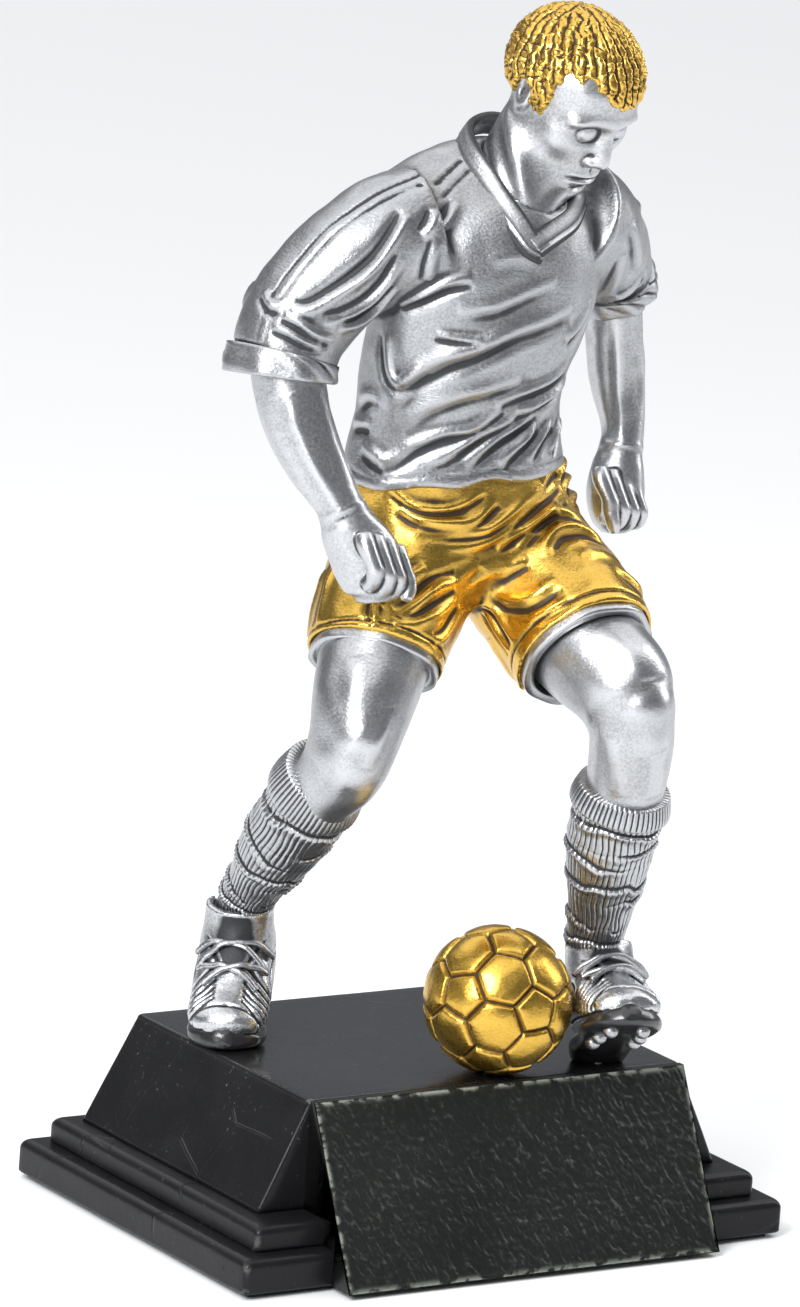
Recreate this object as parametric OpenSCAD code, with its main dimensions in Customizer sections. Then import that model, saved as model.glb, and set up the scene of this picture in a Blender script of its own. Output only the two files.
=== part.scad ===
// Figure trophy: a football player and a ball on a stepped base with a sloping name panel.
// Origin: centre of the underside. +X is to the viewer's right, -Y is the front, +Z is up.

/* [Base] */
// Width of the lower step, side to side
base_w = 110; // [95:1:135]
// Depth of the whole base, from the foot of the name panel to the back
base_d = 83; // [75:1:105]
// Thickness of the felt under the base
felt_t = 1; // [0.5:0.1:2]
// Height of the lower step
lower_h = 6; // [4:0.5:10]
// Height of the upper step
upper_h = 4.5; // [3:0.5:8]
// Height of the sloping body above the steps
body_h = 19; // [14:1:32]
// Tread left uncovered on each step
tread = 4; // [3:0.5:6]
// How far each side of the body leans in
side_lean = 9.25; // [4:0.25:12]
// How far the back of the body leans in
back_lean = 1.5; // [0:0.25:4]
// Run of the name panel, from its foot to its top edge
panel_run = 15; // [13:0.5:18]
// Radius of the rounded edge on each step
edge_r = 1.6; // [0.5:0.1:2.5]

/* [Figure] */
// Height of the player, from the base to the crown
figure_h = 182; // [140:1:230]
// Diameter of the ball
ball_d = 26; // [18:1:32]
// Diameter of the threaded rods that hold the legs
rod_d = 3; // [2:0.5:4]
// Length of each rod above the base
rod_grip = 11; // [8:0.5:16]
// Diameter of the pin under the ball
pin_d = 2; // [1.5:0.5:3]
// Gap all round each rod where it passes through the base
rod_clearance = 0.2; // [0.1:0.1:0.5]

/* [Hidden] */

// Base levels and outlines
lower_z = felt_t;
upper_z = lower_z + lower_h;
body_z = upper_z + upper_h;
plate_z = body_z + body_h;
back_y = base_d / 2;
foot_y = -base_d / 2;
panel_land = 1.5;
plate_front = foot_y + panel_run;
body_front = plate_front + panel_land;
lower_front = foot_y + panel_run * 0.4;
upper_w = base_w - 2 * tread;
upper_front = lower_front + 3.5;
upper_back = back_y - 3.5;
body_w = upper_w - 2 * tread;
body_back = upper_back - tread;
plate_w = body_w - 2 * side_lean;
plate_back = body_back - back_lean;
felt_inset = 2;

// Fixings
nut_af = 5.5 * rod_d / 3;
nut_h = 2.4 * rod_d / 3;
washer_d = 7 * rod_d / 3;
washer_t = 0.5;
pocket_d = washer_d + 1;
pocket_h = 4;
pin_len = 12;
pin_sink = 6;

// Player: every point below is for a player 182 tall, from the plate under the boots
k = figure_h / 182;
heel_lift = 8;
ball_of_foot = 17;
right_heel = [-20.5, 27.5, 0];
right_turn = -127;
left_heel = [24.9, -17.3, 0];
left_turn = -110;
left_tilt = 28;
waist_up = [0.127, 0, 0.992];
ball_right = 15.7 * k;
ball_x = ball_right - ball_d / 2;
ball_y = plate_front + ball_d / 2 - 5.6;
ball_flat = 0.3;
right_rod_at = [-28.5, 16.5] * k;
left_rod_at = [24, -19.5] * k;

// Stations: x, y, z of the centre, then the half-widths along and across the side direction
SHIRT = [[0.3, 3, 101.5, 20.8, 14.2], [0, 3, 107.5, 19.6, 13.8], [-0.6, 2, 113.5, 19, 13.4],
         [-1, 0, 121, 19.4, 13.4], [0, -2, 130, 20.3, 13.8], [1, -3.5, 137.5, 20, 13.6],
         [2, -3.5, 143.5, 17.5, 12.6], [3, -1.5, 149.5, 12.5, 10], [4, 0, 155, 8, 7.5]];
YOKE = [[-24, -0.5, 141, 8.5, 8.5], [-14, 1, 145, 9.2, 9.4], [-3, 2.5, 149, 9, 9.6],
        [8, 2, 149, 8.8, 9.5], [18, 0.5, 145, 9, 8.4], [22, 0.5, 141.5, 8, 7.5]];
RIGHT_SLEEVE = [[-14, -3.5, 144.5, 10, 11.2], [-21.5, -2.5, 142.6, 10.2, 10.4],
                [-29, -0.5, 136.8, 9.8, 9.8], [-35, 1, 128.5, 9.5, 9.5],
                [-37.4, 0.5, 122.5, 9, 9]];
LEFT_SLEEVE = [[15, -4.5, 146, 9.5, 11], [21, -2, 143.5, 8.8, 9.8], [26, 1.5, 139.5, 8, 8.8],
               [29.8, 4.2, 135.8, 7.4, 7.7], [31.8, 5.4, 132.8, 6.9, 7.1]];
RIGHT_CUFF = [[-37.4, 0.5, 122.5, 9.1, 9.1], [-37.8, 0.2, 119.6, 9.4, 9.4]];
LEFT_CUFF = [[31.8, 5.4, 132.8, 7, 7.2], [33, 6.1, 130.4, 7.2, 7.4]];
RIGHT_ARM = [[-37, 0.8, 126, 6, 6], [-36.9, -0.5, 120, 6.2, 6.2], [-36, -3, 113, 5.8, 5.9],
             [-33.8, -7, 105.5, 4.9, 5], [-30.6, -10.8, 98.5, 3.9, 3.7]];
LEFT_ARM = [[30.8, 5, 136, 5, 5], [33.2, 6.5, 127, 5, 5.1], [35.2, 7, 115.5, 4.7, 4.8],
            [36, 5.2, 108, 3.8, 3.9], [35.4, 3.8, 103.5, 3.5, 3.6]];
RIGHT_PALM = [[-30.6, -10.8, 98.5, 3.9, 3.7], [-29.4, -12, 95, 5.6, 4.3], [-27, -13.5, 90.5, 6.8, 5],
              [-25.6, -14.5, 86, 6, 4.6], [-25.4, -14.8, 83.5, 3.6, 3]];
LEFT_PALM = [[35.4, 3.8, 103.5, 3.5, 3.6], [34.7, 3.5, 100, 4.9, 4.5], [34.2, 3, 95.5, 5.6, 5.2],
             [34.3, 2.6, 91, 4.8, 4.6], [34.4, 2.5, 88.8, 2.8, 2.8]];
HIPS = [[4.5, 3, 79, 17, 12.5], [3.5, 4, 85, 22.3, 15.8], [2, 4, 91, 22, 15.6],
        [1, 3.5, 97, 20.8, 14.6], [0.3, 3, 101.5, 20, 13.5]];
RIGHT_SHORTS = [[-6.5, 3, 89, 12, 13.5], [-11.5, 0, 81.5, 12.6, 13.6], [-16.8, -4, 74.8, 12.2, 12.8],
                [-19, -6, 71, 11.8, 12.4]];
LEFT_SHORTS = [[12, 2, 87.5, 12, 13.5], [14.5, -6, 81.5, 13, 13.4], [15.4, -14, 76.8, 12.8, 13.2],
               [15.4, -18.8, 73.4, 12.6, 13]];
RIGHT_LEG = [[-15, -3, 79, 10, 10.5], [-18, -5.5, 74, 9.8, 10.2], [-22.8, -10, 67, 9, 9.4],
             [-26.2, -12.8, 60, 7.8, 8.2], [-27, -11.2, 54.5, 7.1, 7.6],
             [-27.5, -7, 49.5, 6.3, 6.7], [-27.8, -3, 45.5, 5.8, 6]];
LEFT_THIGH = [[14.6, -10, 78, 9.6, 10], [15.8, -18, 73.8, 9.6, 10], [16.9, -25, 70.8, 9.1, 9.5],
              [17.6, -29.5, 68.6, 8.3, 8.6], [18, -31.5, 67, 6.4, 6.6]];
LEFT_SHIN = [[17.6, -29.5, 69.5, 6.4, 6.8], [18.2, -30.4, 65.5, 7.4, 7.6], [19.4, -29, 58, 7.1, 7.4],
             [20.2, -27, 51, 6.7, 6.9], [20.6, -25.6, 46, 6.2, 6.4]];
RIGHT_SOCK = [[-27.4, -6, 51, 6.6, 6.9], [-27.2, 1.5, 42, 7.5, 7.3], [-26.9, 8, 35, 6.8, 6.6],
              [-26, 14, 28.5, 5.3, 5.2], [-25.2, 18, 23, 4.7, 4.8], [-25.2, 19.5, 17, 4.7, 4.8]];
LEFT_SOCK = [[20.4, -26.4, 50.5, 7.3, 7.4], [20.6, -24, 43.5, 7.7, 7.8], [21.4, -21.8, 37, 7.2, 7.4],
             [23.4, -18, 28.5, 5.8, 5.9], [24.6, -15, 20, 4.8, 4.9], [25.2, -14.4, 13.5, 4.6, 4.8]];
NECK = [[2.8, -6, 141, 8.2, 8.8], [3.4, -5.2, 150, 7.8, 8.2], [5, -5.6, 157.5, 7.4, 7.8],
        [8, -8, 165, 7.2, 8]];
COLLAR = [[6, 5.5, 160], [-1.5, 3.5, 160], [-5.3, -2.5, 158], [-4, -10.5, 151],
          [-0.9, -16.8, 143.5], [7, -13.8, 146], [14, -7.5, 149], [13, 1.5, 155.5]];
collar_r = 2;
// Boot: distance from the heel, height of the centre, half-width and half-height
BOOT = [[-0.8, 6.5, 2.4, 3.6], [1, 8, 4.8, 6.6], [4.5, 9.2, 6.2, 8.2], [9.5, 8.9, 6.8, 8],
        [14, 7.2, 7, 6.4], [18.5, 5.6, 7.1, 4.8], [22.3, 4.6, 6.6, 3.8], [24.8, 3.9, 5, 2.9],
        [26, 3.4, 2.2, 1.4]];
SOLE = [[-1, 1.6, 2.2, 1.2], [1.5, 1.2, 5, 1.2], [6, 1.2, 6, 1.2], [12, 1.2, 6, 1.2],
        [18.5, 1.2, 7.3, 1.2], [22.6, 1.3, 6.7, 1.2], [25.3, 1.6, 4.6, 1.2], [26.8, 2, 2, 0.9]];
BOOT_TOP = [[7.6, 0, 9, 5.8, 5.2], [7.4, 0, 14, 6, 5.3], [7, 0, 18.8, 5.9, 5.2]];
boot_top_up = [0.45, 0, 0.89];
// Laces: distance from the heel, height on a flat foot, share of the heel lift that they follow
lace_at = [[14, 15.4, 0.35], [15.6, 14, 0.31], [17.2, 12.5, 0.2], [18.8, 11.2, 0.06]];
lace_r = 0.6;
stud_at = [[13.6, 3.6], [13.6, -3.6], [18, 3.6], [18, -3.6], [22.8, 2.8], [22.8, -2.8]];
stud_d = 2.4;
stud_h = 1;

// Head: its centre is the middle of the skull
head_at = [10.6, -9.5, 171.6];
head_turn = [30, 0, 15];
SKULL = [9.7, 11.5, 9.9];
hair_t = 0.9;
JAW = [[0, -1.2, 1, 9.4, 11], [0, -2.8, -5, 8.7, 9.6], [0, -4.4, -10, 7.4, 7.6],
       [0, -5.9, -14.4, 5.2, 5.2], [0, -6.6, -16.6, 2.8, 2.8]];
NOSE = [[0, -11.2, -1.5, 0.9, 0.9], [0, -12.6, -5, 1.2, 1.4], [0, -13.2, -7.6, 1.7, 1.5],
        [0, -12, -8.8, 1.2, 1]];
ear_at = [9.6, 1, -3.2];
EAR = [1.6, 2.6, 4];

right_wrist = unit([3, -3.6, -7]);
left_wrist = unit([-0.5, -1.4, -4.5]);
// Points of one finger: offsets from its knuckle
FIST_SIDE = [0.84, -0.53, 0];
FINGER = [[0, 0, 0, 1.6, 1.6], [0.8, -1.6, -2.6, 1.7, 1.7], [1.4, -1.4, -5.4, 1.6, 1.6],
          [1.2, 0.4, -7, 1.4, 1.4]];
right_knuckle = [-28, -16.6, 93];
left_knuckle = [28.6, 0.4, 98.5];
finger_step = [2, 0.4, -0.7];

function unit(v) = v / norm(v);
function xyz(row) = [row[0], row[1], row[2]];
function station(rows, i) =
    i < 0 ? 2 * rows[0] - rows[1] :
    i >= len(rows) ? 2 * rows[len(rows) - 1] - rows[len(rows) - 2] : rows[i];
function between(a, b, c, d, t) =
    0.5 * (2 * b + (c - a) * t + (2 * a - 5 * b + 4 * c - d) * t * t
           + (3 * b - a - 3 * c + d) * t * t * t);
function smooth(rows, steps) =
    [for (i = [0:len(rows) - 2]) for (s = [0:steps - 1])
        between(station(rows, i - 1), rows[i], rows[i + 1], station(rows, i + 2), s / steps),
     rows[len(rows) - 1]];
function way(rows, i) =
    unit(xyz(rows[min(i + 1, len(rows) - 1)]) - xyz(rows[max(i - 1, 0)]));
function squash(c, power) = sign(c) * pow(abs(c), power);
function ring(row, along, side, sides, power) =
    let (e = unit(side - (side * along) * along), f = cross(along, e))
    [for (j = [0:sides - 1]) xyz(row) + e * row[3] * squash(cos(360 * j / sides), power)
        + f * row[4] * squash(sin(360 * j / sides), power)];
function wall(rings, sides) =
    [for (i = [0:rings - 2]) for (j = [0:sides - 1]) for (half = [0, 1])
        let (a = i * sides + j, b = i * sides + (j + 1) % sides)
        half == 0 ? [a, a + sides, b + sides] : [a, b + sides, b]];

// A smooth skin over elliptical stations, closed flat at both ends
module loft(stations, side = [1, 0, 0], first = [0, 0, 0], last = [0, 0, 0],
            sides = 20, steps = 2, power = 1) {
    rows = smooth(stations, steps);
    n = len(rows) - 1;
    points = [for (i = [0:n])
        let (along = i == 0 && norm(first) > 0 ? first : i == n && norm(last) > 0 ? last : way(rows, i))
        each ring(rows[i], along, side, sides, power)];
    caps = [[for (j = [0:sides - 1]) j], [for (j = [sides - 1:-1:0]) n * sides + j]];
    polyhedron(points, concat(caps, wall(n + 1, sides)), convexity = 6);
}

// A round band through a closed row of points
module band(points, r, sides = 10, steps = 4) {
    n = len(points);
    path = [for (i = [0:n - 1]) for (s = [0:steps - 1])
        between(points[(i + n - 1) % n], points[i], points[(i + 1) % n], points[(i + 2) % n], s / steps)];
    m = len(path);
    verts = [for (i = [0:m - 1])
        let (along = unit(path[(i + 1) % m] - path[(i + m - 1) % m]))
        each ring([each path[i], r, r], along, [0, 0, 1], sides, 1)];
    faces = [for (i = [0:m - 1]) for (j = [0:sides - 1]) for (half = [0, 1])
        let (a = i * sides + j, b = i * sides + (j + 1) % sides,
             c = (i + 1) % m * sides + j, d = (i + 1) % m * sides + (j + 1) % sides)
        half == 0 ? [a, c, d] : [a, d, b]];
    polyhedron(verts, faces, convexity = 6);
}

// Joins what is drawn in it into one skin, at its own size
module skin() resize([0, 0, 0]) union() children();

// First shape, less all the others, as one skin
module fitted() {
    resize([0, 0, 0]) difference() {
        children(0);
        if ($children > 1) children([1:$children - 1]);
    }
}

// Places the player on the plate
module on_plate() translate([0, 0, plate_z]) scale(k) children();
module below_plate() translate([0, 0, -10]) cube([200, 200, 20], center = true);

// --- Base ---
module edge_profile(w, h) {
    translate([-w / 2, 0]) square([w, h - edge_r]);
    translate([-w / 2 + edge_r, 0]) square([w - 2 * edge_r, h]);
    for (s = [-1, 1]) translate([s * (w / 2 - edge_r), h - edge_r]) circle(edge_r, $fn = 48);
}

// A slab with rounded top edges, between two depths
module rounded_slab(w, y0, y1, h) {
    intersection() {
        translate([0, y1, 0]) rotate([90, 0, 0]) linear_extrude(y1 - y0) edge_profile(w, h);
        translate([-w / 2, (y0 + y1) / 2, 0]) rotate([90, 0, 90]) linear_extrude(w)
            edge_profile(y1 - y0, h);
    }
}

module rod_places() {
    for (p = [right_rod_at, left_rod_at]) translate([p[0], p[1], 0]) children();
}

module rod_holes(z, h) rod_places() translate([0, 0, z - 1])
    cylinder(d = rod_d + 2 * rod_clearance, h = h + 2, $fn = 48);

module felt_pad() color("darkslategray")
    translate([-base_w / 2 + felt_inset, lower_front + felt_inset, 0])
        cube([base_w - 2 * felt_inset, back_y - lower_front - 2 * felt_inset, felt_t]);

module lower_step() color([0.06, 0.06, 0.06])
    difference() {
        translate([0, 0, lower_z]) rounded_slab(base_w, lower_front, back_y, lower_h);
        rod_holes(lower_z, lower_h);
        rod_places() translate([0, 0, lower_z - 1]) cylinder(d = pocket_d, h = pocket_h + 1, $fn = 48);
    }

module upper_step() color([0.06, 0.06, 0.06])
    difference() {
        translate([0, 0, upper_z]) rounded_slab(upper_w, upper_front, upper_back, upper_h);
        rod_holes(upper_z, upper_h);
    }

module plinth_body() color([0.05, 0.05, 0.05])
    difference() {
        intersection() {
            translate([0, body_back, body_z]) rotate([90, 0, 0]) linear_extrude(body_back - body_front)
                polygon([[-body_w / 2, 0], [body_w / 2, 0], [plate_w / 2, body_h], [-plate_w / 2, body_h]]);
            translate([-body_w / 2, 0, body_z]) rotate([90, 0, 90]) linear_extrude(body_w)
                polygon([[body_front, 0], [body_back, 0], [plate_back, body_h], [body_front, body_h]]);
        }
        rod_holes(body_z, body_h);
        translate([ball_x, ball_y, plate_z - pin_sink]) cylinder(d = pin_d, h = pin_sink + 1, $fn = 48);
    }

module name_panel() color([0.08, 0.08, 0.08])
    translate([-plate_w / 2, 0, 0]) rotate([90, 0, 90]) linear_extrude(plate_w)
        polygon([[foot_y, lower_z], [lower_front, lower_z], [lower_front, upper_z],
                 [upper_front, upper_z], [upper_front, body_z], [body_front, body_z],
                 [body_front, plate_z], [plate_front, plate_z]]);

// --- Fixings ---
nut_z = lower_z + pocket_h - washer_t - nut_h;
rod_z = nut_z - 0.4;
module leg_rod(at) color("silver")
    translate([at[0], at[1], rod_z]) cylinder(d = rod_d, h = plate_z + rod_grip - rod_z, $fn = 48);
module right_leg_rod() leg_rod(right_rod_at);
module left_leg_rod() leg_rod(left_rod_at);

module rod_washers() color("silver")
    rod_places() translate([0, 0, lower_z + pocket_h - washer_t]) difference() {
        cylinder(d = washer_d, h = washer_t, $fn = 48);
        translate([0, 0, -1]) cylinder(d = rod_d, h = washer_t + 2, $fn = 48);
    }

module rod_nuts() color("silver")
    rod_places() translate([0, 0, nut_z]) difference() {
        cylinder(d = nut_af / cos(30), h = nut_h, $fn = 6);
        translate([0, 0, -1]) cylinder(d = rod_d, h = nut_h + 2, $fn = 48);
    }

// Cuts the rod's hole into a boot or a sole
module drilled(at) {
    difference() {
        children();
        translate([at[0], at[1], plate_z - 1]) cylinder(d = rod_d, h = rod_grip + 1, $fn = 48);
    }
}

// --- Ball ---
module ball() color("goldenrod")
    difference() {
        translate([ball_x, ball_y, plate_z + ball_d / 2 - ball_flat]) sphere(d = ball_d, $fn = 96);
        translate([ball_x - ball_d, ball_y - ball_d, plate_z - ball_d]) cube([2 * ball_d, 2 * ball_d, ball_d]);
        translate([ball_x, ball_y, plate_z - 1]) cylinder(d = pin_d, h = pin_len - pin_sink + 1, $fn = 48);
    }
module ball_pin() color("silver")
    translate([ball_x, ball_y, plate_z - pin_sink]) cylinder(d = pin_d, h = pin_len, $fn = 48);

// --- Boots, in a frame with the heel at the origin and the toe along +X ---
function lift(x, up) = x >= ball_of_foot ? 0 : up * pow((ball_of_foot - x) / ball_of_foot, 1.4);
module boot_form(up) {
    loft([for (s = BOOT) [s[0], 0, s[1] + lift(s[0], up), s[2], s[3]]], side = [0, 1, 0]);
    loft([for (s = BOOT_TOP) [s[0], 0, s[2] + up * 0.45, s[3], s[4]]], side = [0, 1, 0],
         last = unit(boot_top_up));
}
module sole_form(up) {
    loft([for (s = SOLE) [s[0], 0, s[1] + lift(s[0], up), s[2], s[3]]], side = [0, 1, 0],
         power = 0.6, steps = 2);
}
module lace_form(up) {
    for (p = lace_at) translate([0, 0, p[1] + p[2] * up])
        loft([for (y = [-4.4, -2.4, 0, 2.4, 4.4])
                  [p[0], y, -(0.088 + 0.004 * up) * y * y, lace_r, lace_r]], sides = 8, steps = 2);
}
module right_foot() translate(right_heel) rotate([0, 0, right_turn]) translate([0, 0, -0.3]) children();
module left_foot() translate(left_heel) rotate([0, 0, left_turn]) rotate([0, -left_tilt, 0])
    translate([0, 0, -0.5]) children();

module right_sole() color([0.05, 0.05, 0.05]) drilled(right_rod_at) on_plate()
    fitted() {
        right_foot() sole_form(heel_lift);
        below_plate();
        right_foot() boot_form(heel_lift);
    }
module left_sole() color([0.05, 0.05, 0.05]) drilled(left_rod_at) on_plate()
    fitted() {
        left_foot() sole_form(0);
        below_plate();
        left_foot() boot_form(0);
    }
module left_sole_studs() color("silver") on_plate()
    fitted() {
        left_foot() for (p = stud_at) translate([p[0], p[1], -stud_h])
            cylinder(d1 = stud_d * 0.7, d2 = stud_d, h = stud_h + 1.5, $fn = 24);
        below_plate();
        left_foot() sole_form(0);
        left_foot() boot_form(0);
    }
module right_boot() color("silver") drilled(right_rod_at) on_plate()
    fitted() {
        right_foot() boot_form(heel_lift);
        below_plate();
        right_sock_form();
    }
module left_boot() color("silver") drilled(left_rod_at) on_plate()
    fitted() {
        left_foot() boot_form(0);
        below_plate();
        left_sock_form();
    }
module right_laces() color("gainsboro") on_plate()
    fitted() {
        right_foot() lace_form(heel_lift);
        right_foot() boot_form(heel_lift);
        right_sock_form();
    }
module left_laces() color("gainsboro") on_plate()
    fitted() {
        left_foot() lace_form(0);
        left_foot() boot_form(0);
        left_sock_form();
    }

// --- Socks and legs ---
module right_sock_form() loft(RIGHT_SOCK);
module left_sock_form() loft(LEFT_SOCK);
module right_sock_cuff_form() loft([for (t = [-0.06, 0.2, 0.42])
    RIGHT_SOCK[0] * (1 - t) + RIGHT_SOCK[1] * t + [0, 0, 0, 0.7, 0.7]], steps = 1);
module left_sock_cuff_form() loft([for (t = [-0.06, 0.2, 0.42])
    LEFT_SOCK[0] * (1 - t) + LEFT_SOCK[1] * t + [0, 0, 0, 0.7, 0.7]], steps = 1);
module right_leg_form() loft(RIGHT_LEG, sides = 18);
module left_leg_form() {
    loft(LEFT_THIGH, sides = 18);
    loft(LEFT_SHIN, sides = 18);
}

module right_sock() color("silver") on_plate()
    fitted() {
        right_sock_form();
        right_leg_form();
        right_sock_cuff_form();
    }
module left_sock() color("silver") on_plate()
    fitted() {
        left_sock_form();
        left_leg_form();
        left_sock_cuff_form();
    }
module right_sock_cuff() color("silver") on_plate()
    fitted() {
        right_sock_cuff_form();
        right_leg_form();
    }
module left_sock_cuff() color("silver") on_plate()
    fitted() {
        left_sock_cuff_form();
        left_leg_form();
    }
module right_leg() color("silver") on_plate() skin() right_leg_form();
module left_leg() color("silver") on_plate() skin() left_leg_form();

// --- Shorts ---
module shorts_form() {
    loft(HIPS, last = waist_up);
    loft(RIGHT_SHORTS, sides = 22);
    loft(LEFT_SHORTS, sides = 22);
}
// The lining that shows below the edge of a leg of the shorts
module hem_form(rows) {
    n = len(rows) - 1;
    out = unit(xyz(rows[n]) - xyz(rows[n - 1]));
    loft([for (d = [-0.8, 1.2]) [each xyz(rows[n]) + out * d, rows[n][3] - 1.4, rows[n][4] - 1.4]], sides = 22,
         steps = 1);
}
module shorts() color("goldenrod") on_plate()
    fitted() {
        shorts_form();
        right_leg_form();
        left_leg_form();
        right_hand_form();
        left_hand_form();
        hem_form(RIGHT_SHORTS);
        hem_form(LEFT_SHORTS);
    }
module right_shorts_hem() color("silver") on_plate()
    fitted() {
        hem_form(RIGHT_SHORTS);
        right_leg_form();
    }
module left_shorts_hem() color("silver") on_plate()
    fitted() {
        hem_form(LEFT_SHORTS);
        left_leg_form();
    }

// --- Shirt ---
module shirt_form() {
    loft(SHIRT, first = waist_up);
    loft(YOKE, side = [0, -1, 0]);
}
module collar_form() band(COLLAR, collar_r);
module right_sleeve_form() loft(RIGHT_SLEEVE, side = [0, -1, 0]);
module left_sleeve_form() loft(LEFT_SLEEVE, side = [0, -1, 0]);
module right_cuff_form() loft(RIGHT_CUFF, side = [0, -1, 0], steps = 1);
module left_cuff_form() loft(LEFT_CUFF, side = [0, -1, 0], steps = 1);
module right_arm_form() loft(RIGHT_ARM, side = [0, -1, 0], last = right_wrist);
module left_arm_form() loft(LEFT_ARM, side = [0, -1, 0], last = left_wrist);
module neck_form() loft(NECK);

module shirt() color("silver") on_plate()
    fitted() {
        shirt_form();
        neck_form();
        collar_form();
    }
module collar() color("silver") on_plate()
    fitted() {
        collar_form();
        head_form();
    }
module right_sleeve() color("silver") on_plate()
    fitted() {
        right_sleeve_form();
        shirt_form();
        right_arm_form();
        right_cuff_form();
    }
module left_sleeve() color("silver") on_plate()
    fitted() {
        left_sleeve_form();
        shirt_form();
        left_arm_form();
        left_cuff_form();
    }
module right_cuff() color("silver") on_plate()
    fitted() {
        right_cuff_form();
        right_arm_form();
    }
module left_cuff() color("silver") on_plate()
    fitted() {
        left_cuff_form();
        left_arm_form();
    }

// --- Arms and hands ---
module fist_form(palm, knuckle, wrist) {
    loft(palm, side = FIST_SIDE, first = wrist);
    for (i = [0:3]) translate(knuckle + i * finger_step) loft(FINGER, sides = 9, steps = 1);
}
module right_hand_form() fist_form(RIGHT_PALM, right_knuckle, right_wrist);
module left_hand_form() fist_form(LEFT_PALM, left_knuckle, left_wrist);
module right_forearm() color("silver") on_plate() skin() right_arm_form();
module left_forearm() color("silver") on_plate() skin() left_arm_form();
module right_hand() color("silver") on_plate() skin() right_hand_form();
module left_hand() color("silver") on_plate() skin() left_hand_form();

// --- Head ---
module in_head() translate(head_at) rotate(head_turn) children();
module head_form() {
    neck_form();
    in_head() {
        scale(SKULL) sphere(1, $fn = 28);
        loft(JAW);
        loft(NOSE, sides = 10, steps = 2);
        for (s = [-1, 1]) translate([s * ear_at[0], ear_at[1], ear_at[2]])
            rotate([-12, 0, s * 18]) scale(EAR) sphere(1, $fn = 14);
    }
}
module head() color("silver") on_plate()
    skin() head_form();
module hair() color("goldenrod") on_plate()
    fitted() {
        in_head() intersection() {
            scale(SKULL + hair_t * [1, 1, 1]) sphere(1, $fn = 28);
            rotate([-34, 0, 0]) translate([-20, -20, -0.6]) cube(40);
        }
        head_form();
    }

felt_pad();
lower_step();
upper_step();
plinth_body();
name_panel();
right_leg_rod();
left_leg_rod();
rod_washers();
rod_nuts();
ball();
ball_pin();
right_sole();
left_sole();
left_sole_studs();
right_boot();
left_boot();
right_laces();
left_laces();
right_sock();
left_sock();
right_sock_cuff();
left_sock_cuff();
right_leg();
left_leg();
shorts();
right_shorts_hem();
left_shorts_hem();
shirt();
collar();
right_sleeve();
left_sleeve();
right_cuff();
left_cuff();
right_forearm();
left_forearm();
right_hand();
left_hand();
head();
hair();
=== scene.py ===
import math

import bpy
import numpy as np
import openvdb as vdb
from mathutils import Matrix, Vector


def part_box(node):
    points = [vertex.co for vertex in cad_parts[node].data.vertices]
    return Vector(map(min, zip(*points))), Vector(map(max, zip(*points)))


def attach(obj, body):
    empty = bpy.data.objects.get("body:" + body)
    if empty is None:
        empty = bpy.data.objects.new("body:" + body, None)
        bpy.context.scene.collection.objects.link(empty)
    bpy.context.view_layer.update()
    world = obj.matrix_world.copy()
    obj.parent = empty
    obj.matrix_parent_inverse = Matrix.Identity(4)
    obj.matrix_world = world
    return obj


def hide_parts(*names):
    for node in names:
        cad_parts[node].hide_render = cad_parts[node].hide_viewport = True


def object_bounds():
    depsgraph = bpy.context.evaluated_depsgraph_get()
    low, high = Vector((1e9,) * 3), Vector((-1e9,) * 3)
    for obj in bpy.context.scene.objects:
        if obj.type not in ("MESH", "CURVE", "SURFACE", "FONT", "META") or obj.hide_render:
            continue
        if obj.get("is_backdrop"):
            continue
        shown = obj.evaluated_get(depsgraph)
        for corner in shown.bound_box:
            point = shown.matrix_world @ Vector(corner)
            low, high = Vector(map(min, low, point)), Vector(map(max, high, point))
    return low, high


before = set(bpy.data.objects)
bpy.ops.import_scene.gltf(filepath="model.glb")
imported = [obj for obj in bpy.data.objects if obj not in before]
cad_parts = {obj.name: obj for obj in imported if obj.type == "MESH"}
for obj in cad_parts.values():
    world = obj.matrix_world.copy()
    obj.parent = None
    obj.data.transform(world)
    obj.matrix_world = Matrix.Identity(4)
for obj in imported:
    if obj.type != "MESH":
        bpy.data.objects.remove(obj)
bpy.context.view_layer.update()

# ---------------------------------------------------------------- The stand it is shown on
# A plain pale table, one large soft lamp high on the left, a weaker one on the right and a
# wide one overhead. The camera stands in front and to the left, and looks a little down on it.
CAMERA_AZIMUTH, CAMERA_ELEVATION, CAMERA_ROLL = (math.radians(a) for a in (-33.325, 12.564, 4.188))
CAMERA_DISTANCE = 1.36917
CAMERA_AIM = np.array([-0.00998, 0.0, 0.10066])
LENS = 220.35


def camera_axes(azimuth, elevation, roll):
    """Right, up and forward of a camera that looks along +Y at azimuth 0, then leans by roll."""
    right = np.array([math.cos(azimuth), math.sin(azimuth), 0])
    forward = np.array([-math.sin(azimuth) * math.cos(elevation),
                        math.cos(azimuth) * math.cos(elevation), -math.sin(elevation)])
    up = np.cross(right, forward)
    return (right * math.cos(roll) + up * math.sin(roll),
            up * math.cos(roll) - right * math.sin(roll), forward)


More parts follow.
